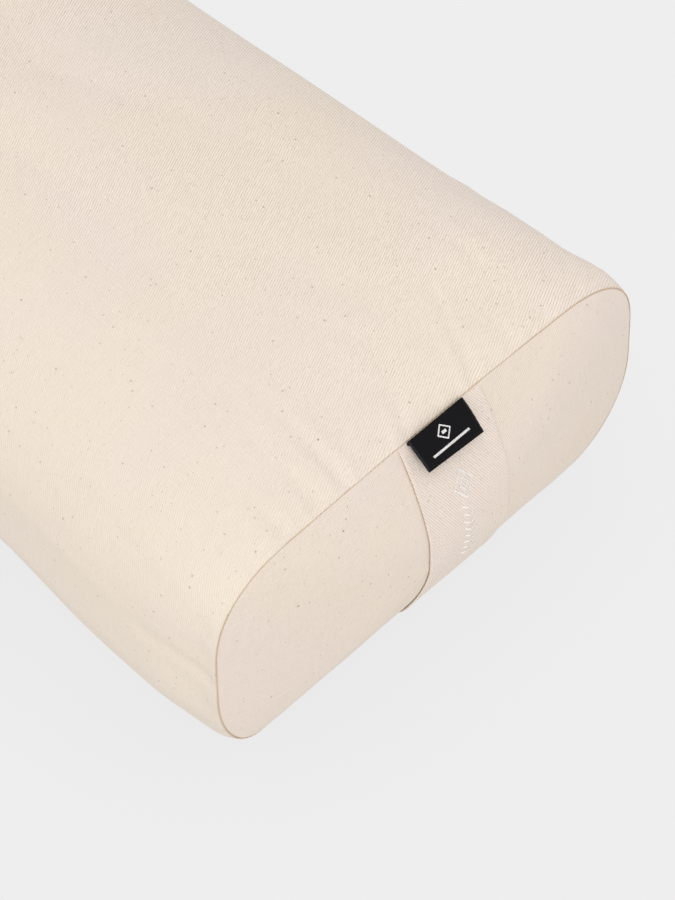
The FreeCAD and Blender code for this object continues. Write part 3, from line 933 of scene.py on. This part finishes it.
def body_panel():
    relief = (pucker_field(HANDLE_END_PUCKERS, from_crest, to_handle_end)
              + pucker_field(PLAIN_END_PUCKERS, from_crest, to_plain_end))
    swell = (wave_noise(body_x, from_crest, seed=3, scale=190) * 0.3
             + wave_noise(body_x, from_crest, seed=5, scale=52) * 0.07)
    relief += swell * smooth_step(to_seam / 60)
    for distance, phase in ((to_handle_end, 11), (to_plain_end, 13)):
        relief += seam_ripple(from_crest, distance, height=0.09, reach=7.0, phase=phase)
    relief *= relief_share
    relief += cloth_wrinkles()

    # edges turned in at the end seams and along the hem, the line of stitches in the hem, and
    # painted tan shade in the end seams and along the hem's edge
    tone = np.where(body_x > 0, seam_tone(from_crest, 1), PLAIN_TONE)
    in_slot = (smooth_step((body_x - SLOT_X0 + 4) / 6)
               * smooth_step((SLOT_X1 + 4 - body_x) / 6))
    turn = np.maximum(rolled(to_seam, radius=1.1, depth=0.62) * openness(tone),
                      rolled(to_hem, radius=1.1, depth=0.7) * (0.6 + 0.4 * in_slot))
    stitch_line = 0.28 * np.exp(-((to_hem - 2.8) / 0.55) ** 2) * in_slot
    # painted shade: tan darkening next to the end seams and along the hem's edge
    dark = (np.exp(-(to_seam / 0.42) ** 1.5) * tone
            + np.exp(-(to_hem / 0.4) ** 2) * (0.75 - 0.4 * in_slot))
    calm = (0.64 * smooth_step((from_crest + 30) / 120)
            * (1 - smooth_step((from_crest - 330) / 60)))

    outer = body_base + body_normals * (relief - turn - stitch_line)[..., None]
    outer[..., 2] = np.maximum(outer[..., 2], 0.0)
    normals = grid_normals(outer)
    normals = facing(normals, (normals * body_normals).sum())
    thickness = COVER_T + 0.5 * (1 - smooth_step((to_hem - 7) / 2)) * in_slot
    body = shell("cover_body_panel_cloth", outer, outer - normals * thickness[..., None],
                 points(body_x, from_crest), DRILL_BODY,
                 attrs={"seam": np.clip(dark, 0, 1), "calm": calm})
    register(body, "cotton_drill", "cover_body_panel")


body_panel()


# ================================================================ end panels
def rim(sign, count):
    """The edge of an end panel, sunk below the seam line, and its distances round."""
    yz, s = even_ring(X_SEAM, count)
    along = np.roll(yz, -1, 0) - np.roll(yz, 1, 0)
    along /= np.linalg.norm(along, axis=1)[:, None]
    out = np.c_[along[:, 1], -along[:, 0]]
    out = facing(out, ((yz - [0, END_Z]) * out).sum())
    sunk = SEAM_INSET * openness(seam_tone(s - CREST_AT_SEAM, sign))
    return yz - out * sunk[:, None], s


RIM_COUNT = 240
RIM, RIM_S = rim(1, RIM_COUNT)
RIM_RADIUS = np.hypot(RIM[:, 0], RIM[:, 1] - END_Z)
# radius of the rim by angle, with one point repeated beyond each end
rim_angle = np.arctan2(RIM[:, 1] - END_Z, RIM[:, 0])
order = np.argsort(rim_angle)
ANGLES = rim_angle[order]
ANGLES = np.r_[ANGLES[-1] - TAU, ANGLES, ANGLES[0] + TAU]
RADII = RIM_RADIUS[order]
RADII = np.r_[RADII[-1], RADII, RADII[0]]
END_STEPS = [0, 0.2, 0.42, 0.7, 1.1, 1.7, 2.5, 3.4, 4.6, 6.2]   # finer rings, from the seam


def end_x(y, z):
    """x of the handle end's panel at y, z, without relief."""
    radius = np.interp(np.arctan2(z - END_Z, y), ANGLES, RADII)
    share = np.clip(np.hypot(z - END_Z, y) / radius, 0, 1)
    grow = np.maximum(share, 1e-6)
    return X_SEAM + seam_lean(y / grow, (z - END_Z) / grow) * share + bulge(share)


def end_panel(sign, tag, puckers, material):
    shares = [1 - step / RIM_RADIUS for step in END_STEPS]
    shares += [shares[-1] * t for t in np.linspace(1, 0, 44)[1:-1]]
    shares = np.array(shares + [np.full(RIM_COUNT, 0.006)])
    y, z = shrunk(*RIM.T, shares)
    x = end_x(y, z)
    x[0] = end_x(*shrunk(*RIM.T, 0.9999))
    base = points(sign * x, y, z)
    normals = grid_normals(base, True)
    normals = facing(normals, normals[len(shares) // 2, 0, 0] * sign)
    normals[-2:] = [sign, 0, 0]
    steps = np.linalg.norm(np.diff(base, axis=0), axis=2)
    run = np.concatenate([np.zeros((1, RIM_COUNT)), np.cumsum(steps, axis=0)])

    relief = pucker_field(puckers, RIM_S, run) * smooth_step(shares.mean(1) * 3)[:, None]
    relief += wave_noise(y, z, seed=21 + sign, scale=100) * 0.5 * smooth_step(run / 25)
    relief += seam_ripple(RIM_S, run, height=0.06, reach=6.0)
    if sign > 0:
        # flat and a little pressed in under the strap
        strap_zone = smooth_step((y + 26) / 5) * smooth_step((40 - y) / 5)
        relief = relief * (1 - strap_zone) - 0.1 * strap_zone * smooth_step(run / 4)
    tone = seam_tone(RIM_S - CREST_AT_SEAM, sign)
    turn = rolled(run, radius=1.2, depth=0.6) * openness(tone)
    outer = base + normals * (relief - turn)[..., None]

    # UVs spread from the middle, by the distance over the cloth
    spoke = base[..., 1:] - [0, END_Z]
    spoke_length = np.linalg.norm(spoke, axis=2) + 1e-9
    uv = spoke / spoke_length[..., None] * (run[-1:] - run + 0.5)[..., None] * [sign, 1]
    outer_normals = grid_normals(outer, True)
    outer_normals = facing(outer_normals, (outer_normals * normals).sum())
    outer_normals[-2:] = [sign, 0, 0]
    # painted shade: tan darkening of the end panel next to its seam
    dark = np.exp(-(run / 0.34) ** 1.5) * 0.9 * tone
    panel = shell(f"cover_end_panel_{tag}_cloth", outer, outer - outer_normals * COVER_T, uv,
                  material, wrap=True, attrs={"seam": np.clip(dark, 0, 1)})
    cap_shell(panel, outer)
    register(panel, "cotton_drill", f"cover_end_panel_{tag}")


handle_panel_puckers = random_puckers(np.arange(10, 770, 33.0), widths=(4, 7),
                                      reaches=(8, 18), depths=(0.15, 0.45), slant=0.2)
plain_panel_puckers = random_puckers(np.arange(10, 770, 31.0), widths=(4, 7),
                                     reaches=(9, 20), depths=(0.25, 0.6), slant=0.2)
end_panel(1, "handle_end", handle_panel_puckers, DRILL_END)
end_panel(-1, "plain_end", plain_panel_puckers, DRILL_PLAIN_END)

# ================================================================ stitches
SEWING_RADIUS = 0.24


def end_seam_stitches(sign, tag):
    """Stitches sunk in the groove of an end seam."""
    pitch, depth = 2.9, 0.12
    yz, _ = rim(sign, 1200)
    yz = np.r_[yz, yz[:1]]
    along = np.r_[0, np.cumsum(np.linalg.norm(np.diff(yz, axis=0), axis=1))]
    length = along[-1]
    count = int(length / pitch)
    # each stitch takes from 0.08 to 0.86 of its share of the seam
    s = (np.arange(count)[:, None] + [0.08, 0.86]) * length / count
    y, z = np.interp(s, along, yz[:, 0]), np.interp(s, along, yz[:, 1])
    x = sign * (X_SEAM - depth) + seam_shift(sign * X_SEAM, y, z)
    stitches = thread_mesh(f"end_seam_stitches_{tag}", points(x, y, z), SEWING_RADIUS, THREAD_TAN)
    register(stitches, "thread", f"end_seam_thread_{tag}")


end_seam_stitches(1, "handle_end")
end_seam_stitches(-1, "plain_end")

TACK_LENGTH, TACK_PITCH, TACK_HALF, TACK_LIFT = 5.8, 0.4, 4.4, 0.25


def bartack(start, tag):
    """Threads laid across an end of the zip opening."""
    segments = []
    for x in np.arange(start, start + TACK_LENGTH, TACK_PITCH):
        (y0, z0), (y1, z1) = at_arc(x, np.array([TACK_HALF, girth(x) - TACK_HALF]))
        shifted_x = x + seam_shift(x, y0, z0)
        segments.append(((shifted_x, y0 + TACK_LIFT, z0), (shifted_x + 0.2, y1 + TACK_LIFT, z1)))
    tack = thread_mesh(f"zip_bartack_{tag}", segments, SEWING_RADIUS, THREAD_CREAM)
    register(tack, "thread")


bartack(BODY_X[BODY_X <= SLOT_X0][-1] - 0.3, "plain_end")
bartack(BODY_X[BODY_X >= SLOT_X1][0] + 0.3 - TACK_LENGTH, "handle_end")

# ================================================================ handle strap
STRAP_Y0, STRAP_Y1 = -20.6, 37.9
STRAP_AXIS_Y = 7.0
STRAP_W = STRAP_Y1 - STRAP_Y0
STRAP_TOP = SEAM_TOP - 1.0
STRAP_BOTTOM = SEAM_BOTTOM + 1.0
STRAP_MID_Z = 71.6                  # where the upper and lower pieces meet
STRAP_T, STRAP_GAP = 1.05, 0.06     # thickness, and the gap to the end panel
STRAP_EDGE_R = 0.9
# Distances of the finer rows from the strap's ends, and of the finer columns from its edges
STRAP_ROW_STEPS = np.array([0, 0.4, 0.9, 1.5, 2.3, 3.4, 4.8])
STRAP_COL_STEPS = np.array([STRAP_EDGE_R, 1.3, 1.9, 2.6, 3.4, 4.6])
STRAP_COLS = np.r_[STRAP_COL_STEPS, np.linspace(6.5, STRAP_W - 6.5, 22),
                   STRAP_W - STRAP_COL_STEPS[::-1]]


def strap_surface(y, z, lift):
    """The end panel at y, z pushed out by lift, and its normal there."""
    step = 0.6
    slope_z = (end_x(y, z + step) - end_x(y, z - step)) / (2 * step)
    slope_y = (end_x(y + step, z) - end_x(y - step, z)) / (2 * step)
    normals = points(1.0, -slope_y, -slope_z)
    normals /= np.linalg.norm(normals, axis=-1, keepdims=True)
    return points(end_x(y, z), y, z) + normals * lift[..., None], normals


def strap_crown(y, z):
    """The face's arch across the strap, and its soft unevenness."""
    arch = 0.35 * (1 - ((y - STRAP_AXIS_Y) / (STRAP_W / 2)) ** 2)
    return arch, wave_noise(y, z, seed=91, scale=60) * 0.22


def strap_rows():
    """Heights of rows evenly stepped along the curve from the top seam to the bottom one,
    their distances along it, the row where the two pieces meet and the strap's length."""
    z = np.linspace(STRAP_TOP + 0.6, STRAP_BOTTOM - 0.6, 900)
    x = end_x(np.full_like(z, STRAP_AXIS_Y), z)
    along = np.r_[0, np.cumsum(np.hypot(np.diff(x), np.diff(z)))]
    length = along[-1]
    run = np.r_[STRAP_ROW_STEPS, np.linspace(6.5, length - 6.5, 76),
                length - STRAP_ROW_STEPS[::-1]]
    heights = np.interp(run, along, z)
    middle = np.argmin(np.abs(heights - STRAP_MID_Z))
    heights[middle] = STRAP_MID_Z
    return heights, run, middle, length


row_z, row_run, middle_row, strap_length = strap_rows()
# one closed loop across: outer face, +Y edge, inner face, -Y edge; level is 1 outside, 0 inside
half_turn = np.linspace(0, math.pi, 9)[1:-1]
edge_out, edge_level = STRAP_EDGE_R * np.sin(half_turn), 0.5 * np.cos(half_turn)
loop_y = np.r_[STRAP_COLS, STRAP_W - STRAP_EDGE_R + edge_out,
               STRAP_COLS[::-1], STRAP_EDGE_R - edge_out]
loop_level = np.r_[np.ones(len(STRAP_COLS)), 0.5 + edge_level,
                   np.zeros(len(STRAP_COLS)), 0.5 - edge_level]
strap_y, strap_z = np.meshgrid(loop_y + STRAP_Y0, row_z)
level = np.repeat(loop_level[None], len(row_z), 0)
to_end = np.minimum(row_run, strap_length - row_run)[:, None]
to_edge = np.minimum(loop_y, STRAP_W - loop_y)[None, :]
# thinner at the ends, with a ridge where the cloth is folded along both edges
thickness = STRAP_T * (0.35 + 0.65 * smooth_step(to_end / 9.0))
arch, soft = strap_crown(strap_y, strap_z)
ridge = 0.16 * np.exp(-((to_edge - 1.8) / 1.4) ** 2)
strap_lift = STRAP_GAP + (thickness + (arch + ridge + soft) * smooth_step(to_end / 12)) * level
strap_grid, strap_out = strap_surface(strap_y, strap_z, strap_lift)
# both ends are a little narrower and drawn in under the seams
narrow = 0.02 * 0.35 * (1 - smooth_step(to_end / 16))
strap_grid[..., 1] = STRAP_AXIS_Y + (strap_grid[..., 1] - STRAP_AXIS_Y) * (1 - narrow)
strap_grid -= strap_out * rolled(to_end, radius=2.0, depth=1.0)[..., None]
strap_normals = grid_normals(strap_grid, True)
strap_normals = facing(strap_normals, strap_normals[middle_row, len(STRAP_COLS) // 2, 0])

strap_uv = points(np.where(level >= 0.5, strap_y, 2 * STRAP_Y1 - strap_y), -row_run[:, None])
strap_calm = (0.15 + 0.6 * smooth_step((98 - strap_z) / 45)
              + 0.1 * smooth_step((strap_y - 12) / 22))
# painted shade on the strap's edges and inner face, stronger on the -Y edge, and where its ends tuck
# under the seams
strap_edge_painted_shade = smooth_step((0.75 - level) / 0.5) * np.where(strap_y < STRAP_AXIS_Y, 0.74, 0.3)
strap_painted_shade = np.clip(strap_edge_painted_shade + np.exp(-(to_end / 0.5) ** 1.4) * 0.5, 0, 1)


def strap_piece(name, rows):
    grid = strap_grid[rows]
    count, cols = grid.shape[:2]
    attrs = {"seam": strap_painted_shade[rows].ravel(), "calm": strap_calm[rows].ravel()}
    piece = make_mesh(name, grid.reshape(-1, 3), grid_faces(count, cols, True), DRILL_STRAP,
                      strap_uv[rows].reshape(-1, 2), attrs)
    cap(piece, (0, (count - 1) * cols), cols, smooth=False)
    # normals taken from the whole strap, so that the join doesn't show
    piece.data.normals_split_custom_set_from_vertices(
        strap_normals[rows].reshape(-1, 3).tolist())
    return piece


def blend_strap(piece, end_z, stop_z):
    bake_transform(piece)


UPPER_BLEND = (STRAP_TOP, STRAP_MID_Z + 4)
LOWER_BLEND = (STRAP_BOTTOM, STRAP_MID_Z - 4)
strap_upper = strap_piece("handle_strap_upper_cloth", slice(0, middle_row + 1))
strap_lower = strap_piece("handle_strap_lower_cloth", slice(middle_row, None))
blend_strap(strap_upper, *UPPER_BLEND)
blend_strap(strap_lower, *LOWER_BLEND)
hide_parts("handle_strap_top", "handle_strap_grip")
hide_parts("handle_strap_bottom")


def strap_motif():
    """Sewn motif in (y, z): one diamond inside another over a herringbone row."""
    centre_y, centre_z = 7.6, 100.0
    pitch = 0.5
    threads = []
    for half_y, half_z, width in ((6.3, 8.2, 0.75), (2.6, 3.4, 0.6)):
        threads += satin_diamond(centre_y, centre_z, half_y, half_z, width, pitch)
    for k in range(8):
        z = 85.5 - k * 4.9
        for side in (-1, 1):
            threads += satin((centre_y + side * 0.7, z), (centre_y + side * 4.2, z + 3.0),
                             0.75, pitch)
    threads = np.array(threads)
    y, z = threads[..., 0], threads[..., 1]
    arch, soft = strap_crown(y, z)
    on_strap, _ = strap_surface(y, z, STRAP_GAP + STRAP_T + arch + soft + 0.18)
    upper = z.mean(1) >= STRAP_MID_Z
    for part, chosen, blend in (("upper", upper, UPPER_BLEND), ("lower", ~upper, LOWER_BLEND)):
        piece = thread_mesh(f"handle_motif_{part}_thread", on_strap[chosen], 0.18,
                            THREAD_WHITE, sides=6)
        blend_strap(piece, *blend)


strap_motif()

# ================================================================ label
LABEL_Y0, LABEL_Y1 = -14.5, 24.3
LABEL_ROWS = 34
LABEL_T = 0.42
LABEL_FOLD = 0.62                   # between the centre lines of the two leaves at the fold
LEAF_POINTS = 22
ROOT_POINTS = 4


def label_path(t):
    """(x, z) centre line of the folded ribbon at share t across it: out along the top leaf,
    round the fold, and back along the lower leaf."""
    start = np.array([289.15, 137.4 - 0.35 * t])
    end = np.array([303.55 + 0.3 * t, 126.9 - 3.2 * t])
    length = np.linalg.norm(end - start)
    along = (end - start) / length
    out = np.array([abs(along[1]), abs(along[0])])
    # the root comes up out of the seam and turns over
    root = np.array([[288.55, 133.9], [288.6, 134.9], [288.68, 135.8], [288.82, 136.6 - 0.2 * t]])
    q = np.linspace(0, 1, LEAF_POINTS)
    bow = 0.55 * np.sin(q * math.pi) + 0.25 * np.sin(q * TAU) * (t - 0.5)
    top_leaf = start + along * length * q[:, None] + out * bow[:, None]
    turn = np.linspace(0, math.pi, 9)[1:-1, None]
    fold_radius = LABEL_FOLD / 2
    fold = (top_leaf[-1] - out * fold_radius + out * fold_radius * np.cos(turn)
            + along * fold_radius * np.sin(turn))
    back = q[::-1]
    gap = (LABEL_FOLD * (0.35 + 0.65 * smooth_step(back * 4)) + 0.35 * np.sin(back * math.pi)
           + 0.25 * (1 - t) * back)
    gap[0] = LABEL_FOLD
    low_leaf = start + along * length * back[:, None] + out * (bow[::-1] - gap)[:, None]
    low_root = root[::-1] + np.array([0.5, -0.35])
    return np.concatenate([root, top_leaf, fold, low_leaf[:-2], low_root[1:]])


label_paths = np.array([label_path(t) for t in np.linspace(0, 1, LABEL_ROWS)])
label_along = np.gradient(label_paths, axis=1)
label_along /= np.linalg.norm(label_along, axis=2, keepdims=True)
label_out = points(-label_along[..., 1], label_along[..., 0])
label_out = facing(label_out, label_out[0, 10, 0])
label_steps = np.linalg.norm(np.diff(label_paths, axis=1), axis=2)
label_s = np.c_[np.zeros(LABEL_ROWS), np.cumsum(label_steps, axis=1)]


def woven_label():
    y = np.linspace(LABEL_Y0, LABEL_Y1, LABEL_ROWS)[:, None]

    def face(offset):
        path = label_paths + label_out * offset
        return points(path[..., 0], y, path[..., 1])

    edge = np.zeros_like(label_s)
    edge[[0, -1], :] = 0.9
    label = shell("woven_label_ribbon", face(LABEL_T / 2), face(-LABEL_T / 2),
                  points(y, label_s), LABEL_SATIN, attrs={"seam": edge})
    bevel = label.modifiers.new("edge", "BEVEL")
    bevel.width = 0.00008
    bevel.segments = 2
    bevel.limit_method = "ANGLE"
    register(label, "woven_label", "woven_label", on="label")


def label_marks():
    """A diamond and a bar on the top leaf, in (mm from the -Y edge, mm down from the seam)."""
    root_length = 4.4
    top = slice(0, ROOT_POINTS + LEAF_POINTS)
    leaf = (label_paths + label_out * (LABEL_T / 2 + 0.05))[:, top]

    def on_label(u, v):
        t = u / (LABEL_Y1 - LABEL_Y0) * (LABEL_ROWS - 1)
        i = int(min(max(math.floor(t), 0), LABEL_ROWS - 2))
        (x0, z0), (x1, z1) = ([np.interp(v + root_length, label_s[k, top], leaf[k, :, axis])
                               for axis in (0, 1)] for k in (i, i + 1))
        share = t - i
        return (x0 * (1 - share) + x1 * share, LABEL_Y0 + u, z0 * (1 - share) + z1 * share)

    u, v = 19.4, 6.2
    threads = satin_diamond(u, v, 4.2, 3.9, 0.55, 0.3, 0.0)
    # the diamond runs towards larger v first, so its corners keep their order
    threads += satin((u - 1.3, v), (u + 1.3, v), width=1.4, pitch=0.3, lean=0.0)
    threads += satin((6.6, 13.0), (32.2, 13.0), width=1.1, pitch=0.36, lean=0.35)
    return [(on_label(*a), on_label(*b)) for a, b in threads]


def label_diamond_order(u, v, half_u, half_v):
    """Corners of the label's diamond, from the one nearest the seam."""
    return [(u, v - half_v), (u + half_u, v), (u, v + half_v), (u - half_u, v)]


def satin_diamond(u, v, half_u, half_v, *args):
    corners = label_diamond_order(u, v, half_u, half_v)
    threads = []
    for i in range(4):
        threads += satin(corners[i], corners[(i + 1) % 4], *args)
    return threads


woven_label()
marks = thread_mesh("woven_label_marks", label_marks(), 0.14, THREAD_WHITE, sides=5)
register(marks, "woven_label", on="label")


# ================================================================ liner and filling
def liner_body():
    """The liner's tube, with its own opening on the -Y side."""
    xs = np.r_[-288, -286, -282, np.linspace(-276, 276, 50), 282, 286, 288]
    gaps = opening_half(xs, -213, 218, fade=8.0, closed=0.3, half=5.6)
    grid, s = slit_tube(xs, gaps, np.array([0, 1.5, 4]), 8, 120, LINER_INSET, True)
    normals = grid_normals(grid)
    normals = facing(normals, normals[len(xs) // 2, 30, 2])
    # relief is held back beside the opening and on the underside
    share = np.where(grid[..., 1] < 0,
                     smooth_step((np.abs(grid[..., 2] - ZIP_Z) - 14) / 12), 1.0)
    share = share * np.where(normals[..., 2] < -0.5, 0.1, 1.0)
    noise = wave_noise(grid[..., 0], s, seed=61, scale=90, octaves=3)
    grid = grid + normals * (noise * 1.1 * share - 0.9 * share)[..., None]
    liner = shell("liner_body_panel_cloth", grid, grid - normals * LINER_T,
                  points(xs[:, None], s), CALICO)
    register(liner, "calico", "liner_body_panel")


def liner_end(sign, tag):
    yz, _ = even_ring(288.0, 96, LINER_INSET + 1.0, True)
    shares = np.r_[1, 0.985, 0.965, np.linspace(0.94, 0.02, 20)][:, None]
    grid = points(sign * (286.0 + bulge(shares, CROWN - 3.5)), *shrunk(*yz.T, shares))
    normals = grid_normals(grid, True)
    normals = facing(normals, normals[10, 0, 0] * sign)
    normals[-1] = [sign, 0, 0]
    noise = wave_noise(grid[..., 1], grid[..., 2], seed=70 + sign, scale=80)
    grid = grid + normals * (noise * 0.6 * (1 - shares ** 6))[..., None]
    panel = shell(f"liner_end_panel_{tag}_cloth", grid, grid - normals * LINER_T, grid[..., 1:],
                  CALICO, wrap=True)
    cap_shell(panel, grid)
    register(panel, "calico", f"liner_end_panel_{tag}")


def filling():
    """One closed lumpy mass of hulls."""
    end = 284
    tube = even_tube(np.linspace(-end, end, 72), 130, LINER_INSET + 3.0, True)
    shares = np.linspace(1, 0.03, 16)[1:, None]
    plain, handle = (
        points(sign * (end + bulge(shares, CROWN - 5)), *shrunk(*tube[row].T[1:], shares))
        for sign, row in ((-1, 0), (1, -1)))
    grid = np.concatenate([plain[::-1], tube, handle])
    normals = grid_normals(grid, True)
    normals = facing(normals, normals[len(grid) // 2, 30, 2])
    lumps = wave_noise(grid[..., 0], grid[..., 1] + 1.7 * grid[..., 2],
                       seed=77, scale=26, octaves=3) * 0.5 - 0.5
    grid = grid + normals * lumps[..., None]
    rows, cols = grid.shape[:2]
    hulls = make_mesh("filling_hulls", grid.reshape(-1, 3), grid_faces(rows, cols, True), HULLS)
    cap(hulls, (0, (rows - 1) * cols), cols)
    register(hulls, "hulls", "filling")


liner_body()
liner_end(1, "handle_end")
liner_end(-1, "plain_end")
filling()

# ================================================================ finishes of the carried-over parts
# The first row with a word found in the part's name gives its material
FINISHES = (
    (("tape",), ZIP_TAPE),
    (("topstitch",), THREAD_CREAM),
    (("teeth", "stop"), ZIP_COIL),
    (("slider", "tab"), ZIP_METAL),
    (("care",), CARE_SATIN),
    (("",), THREAD_TAN),
)
for name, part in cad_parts.items():
    if part.hide_render:
        continue
    finish = next(mat for words, mat in FINISHES if any(word in name for word in words))
    part.data.materials.clear()
    part.data.materials.append(finish)

# ================================================================ floor, light, camera (metres)
BACKGROUND = srgb(238, 238, 238)


def add_floor():
    half = 60.0
    mesh = bpy.data.meshes.new("floor")
    mesh.from_pydata([(-half, -half, 0), (half, -half, 0), (half, half, 0), (-half, half, 0)],
                     [], [(0, 1, 2, 3)])
    floor = add_object("floor", mesh)
    floor.location.z = -0.0002
    # background colour, with a painted contact shadow that darkens it slightly close to the bolster
    m = new_material("floor", "ShaderNodeEmission")
    occlusion = m.node("ShaderNodeAmbientOcclusion", {"Distance": 0.10}, samples=6)
    m.set(Color=BACKGROUND, Strength=m.scaled(occlusion.outputs["AO"], 0.06, 0.94))
    mesh.materials.append(m.owner)


def add_world():
    """The camera sees the plain background; everything else is lit by the room."""
    world = bpy.data.worlds.new("studio")
    bpy.context.scene.world = world
    w = Nodes(world, "ShaderNodeMixShader", "ShaderNodeOutputWorld")
    direction = w.split(w.node("ShaderNodeTexCoord").outputs["Generated"])
    # a little dimmer on the +Y side
    strength = w.math("MULTIPLY_ADD", direction[1], -0.10, 0.86)
    room = w.node("ShaderNodeBackground", {0: (0.95, 0.935, 1.0), 1: strength})
    seen = w.node("ShaderNodeBackground", {0: BACKGROUND, 1: 1.0})
    is_camera_ray = w.node("ShaderNodeLightPath").outputs[0]
    for i, source in enumerate((is_camera_ray, room.outputs[0], seen.outputs[0])):
        w.put(w.surface.inputs[i], source)


def area_light(name, position, target, size, energy, colour):
    light = bpy.data.lights.new(name, "AREA")
    light.shape = "RECTANGLE"
    light.size, light.size_y = size
    light.energy = energy
    light.color = colour
    lamp = add_object(name, light)
    lamp.location = position
    aim = Vector(target) - Vector(position)
    lamp.rotation_euler = aim.to_track_quat("-Z", "Y").to_euler()
    lamp.visible_camera = False


def add_camera():
    """Looks down at the handle end from +X and -Y."""
    azimuth, elevation, roll = 0.72687, 0.901008, 0.0316573     # radians
    distance = 2535.3                                           # mm
    target = np.array([232.738, -1.683, 70.0])                  # mm
    back = np.array([math.sin(azimuth) * math.cos(elevation),
                     -math.cos(azimuth) * math.cos(elevation), math.sin(elevation)])
    level_right = np.array([math.cos(azimuth), math.sin(azimuth), 0.0])
    level_up = np.cross(back, level_right)
    right = math.cos(roll) * level_right + math.sin(roll) * level_up
    up = -math.sin(roll) * level_right + math.cos(roll) * level_up
    position = (target + back * distance) * MM
    data = bpy.data.cameras.new("camera")
    camera = add_object("camera", data)
    camera.matrix_world = Matrix((*np.c_[right, up, back, position].tolist(), (0, 0, 0, 1)))
    data.sensor_width = 36.0
    data.lens = 204.4584
    data.clip_end = 100.0
    bpy.context.scene.camera = camera


add_floor()
add_world()
area_light("key", position=(1.05, -0.85, 2.75), target=(0.15, 0, 0.1), size=(1.6, 1.6),
           energy=22.0, colour=(1.0, 0.995, 0.87))
area_light("fill", position=(1.2, -2.3, 0.3), target=(0.15, -0.05, 0.06), size=(2.0, 0.5),
           energy=2.2, colour=(1.0, 1.0, 0.86))
area_light("front", position=(2.1, -0.25, 0.16), target=(0.3, 0.0, 0.05), size=(1.4, 0.3),
           energy=1.78, colour=(0.9, 0.89, 1.0))
add_camera()
bpy.context.scene.view_settings.view_transform = "Standard"
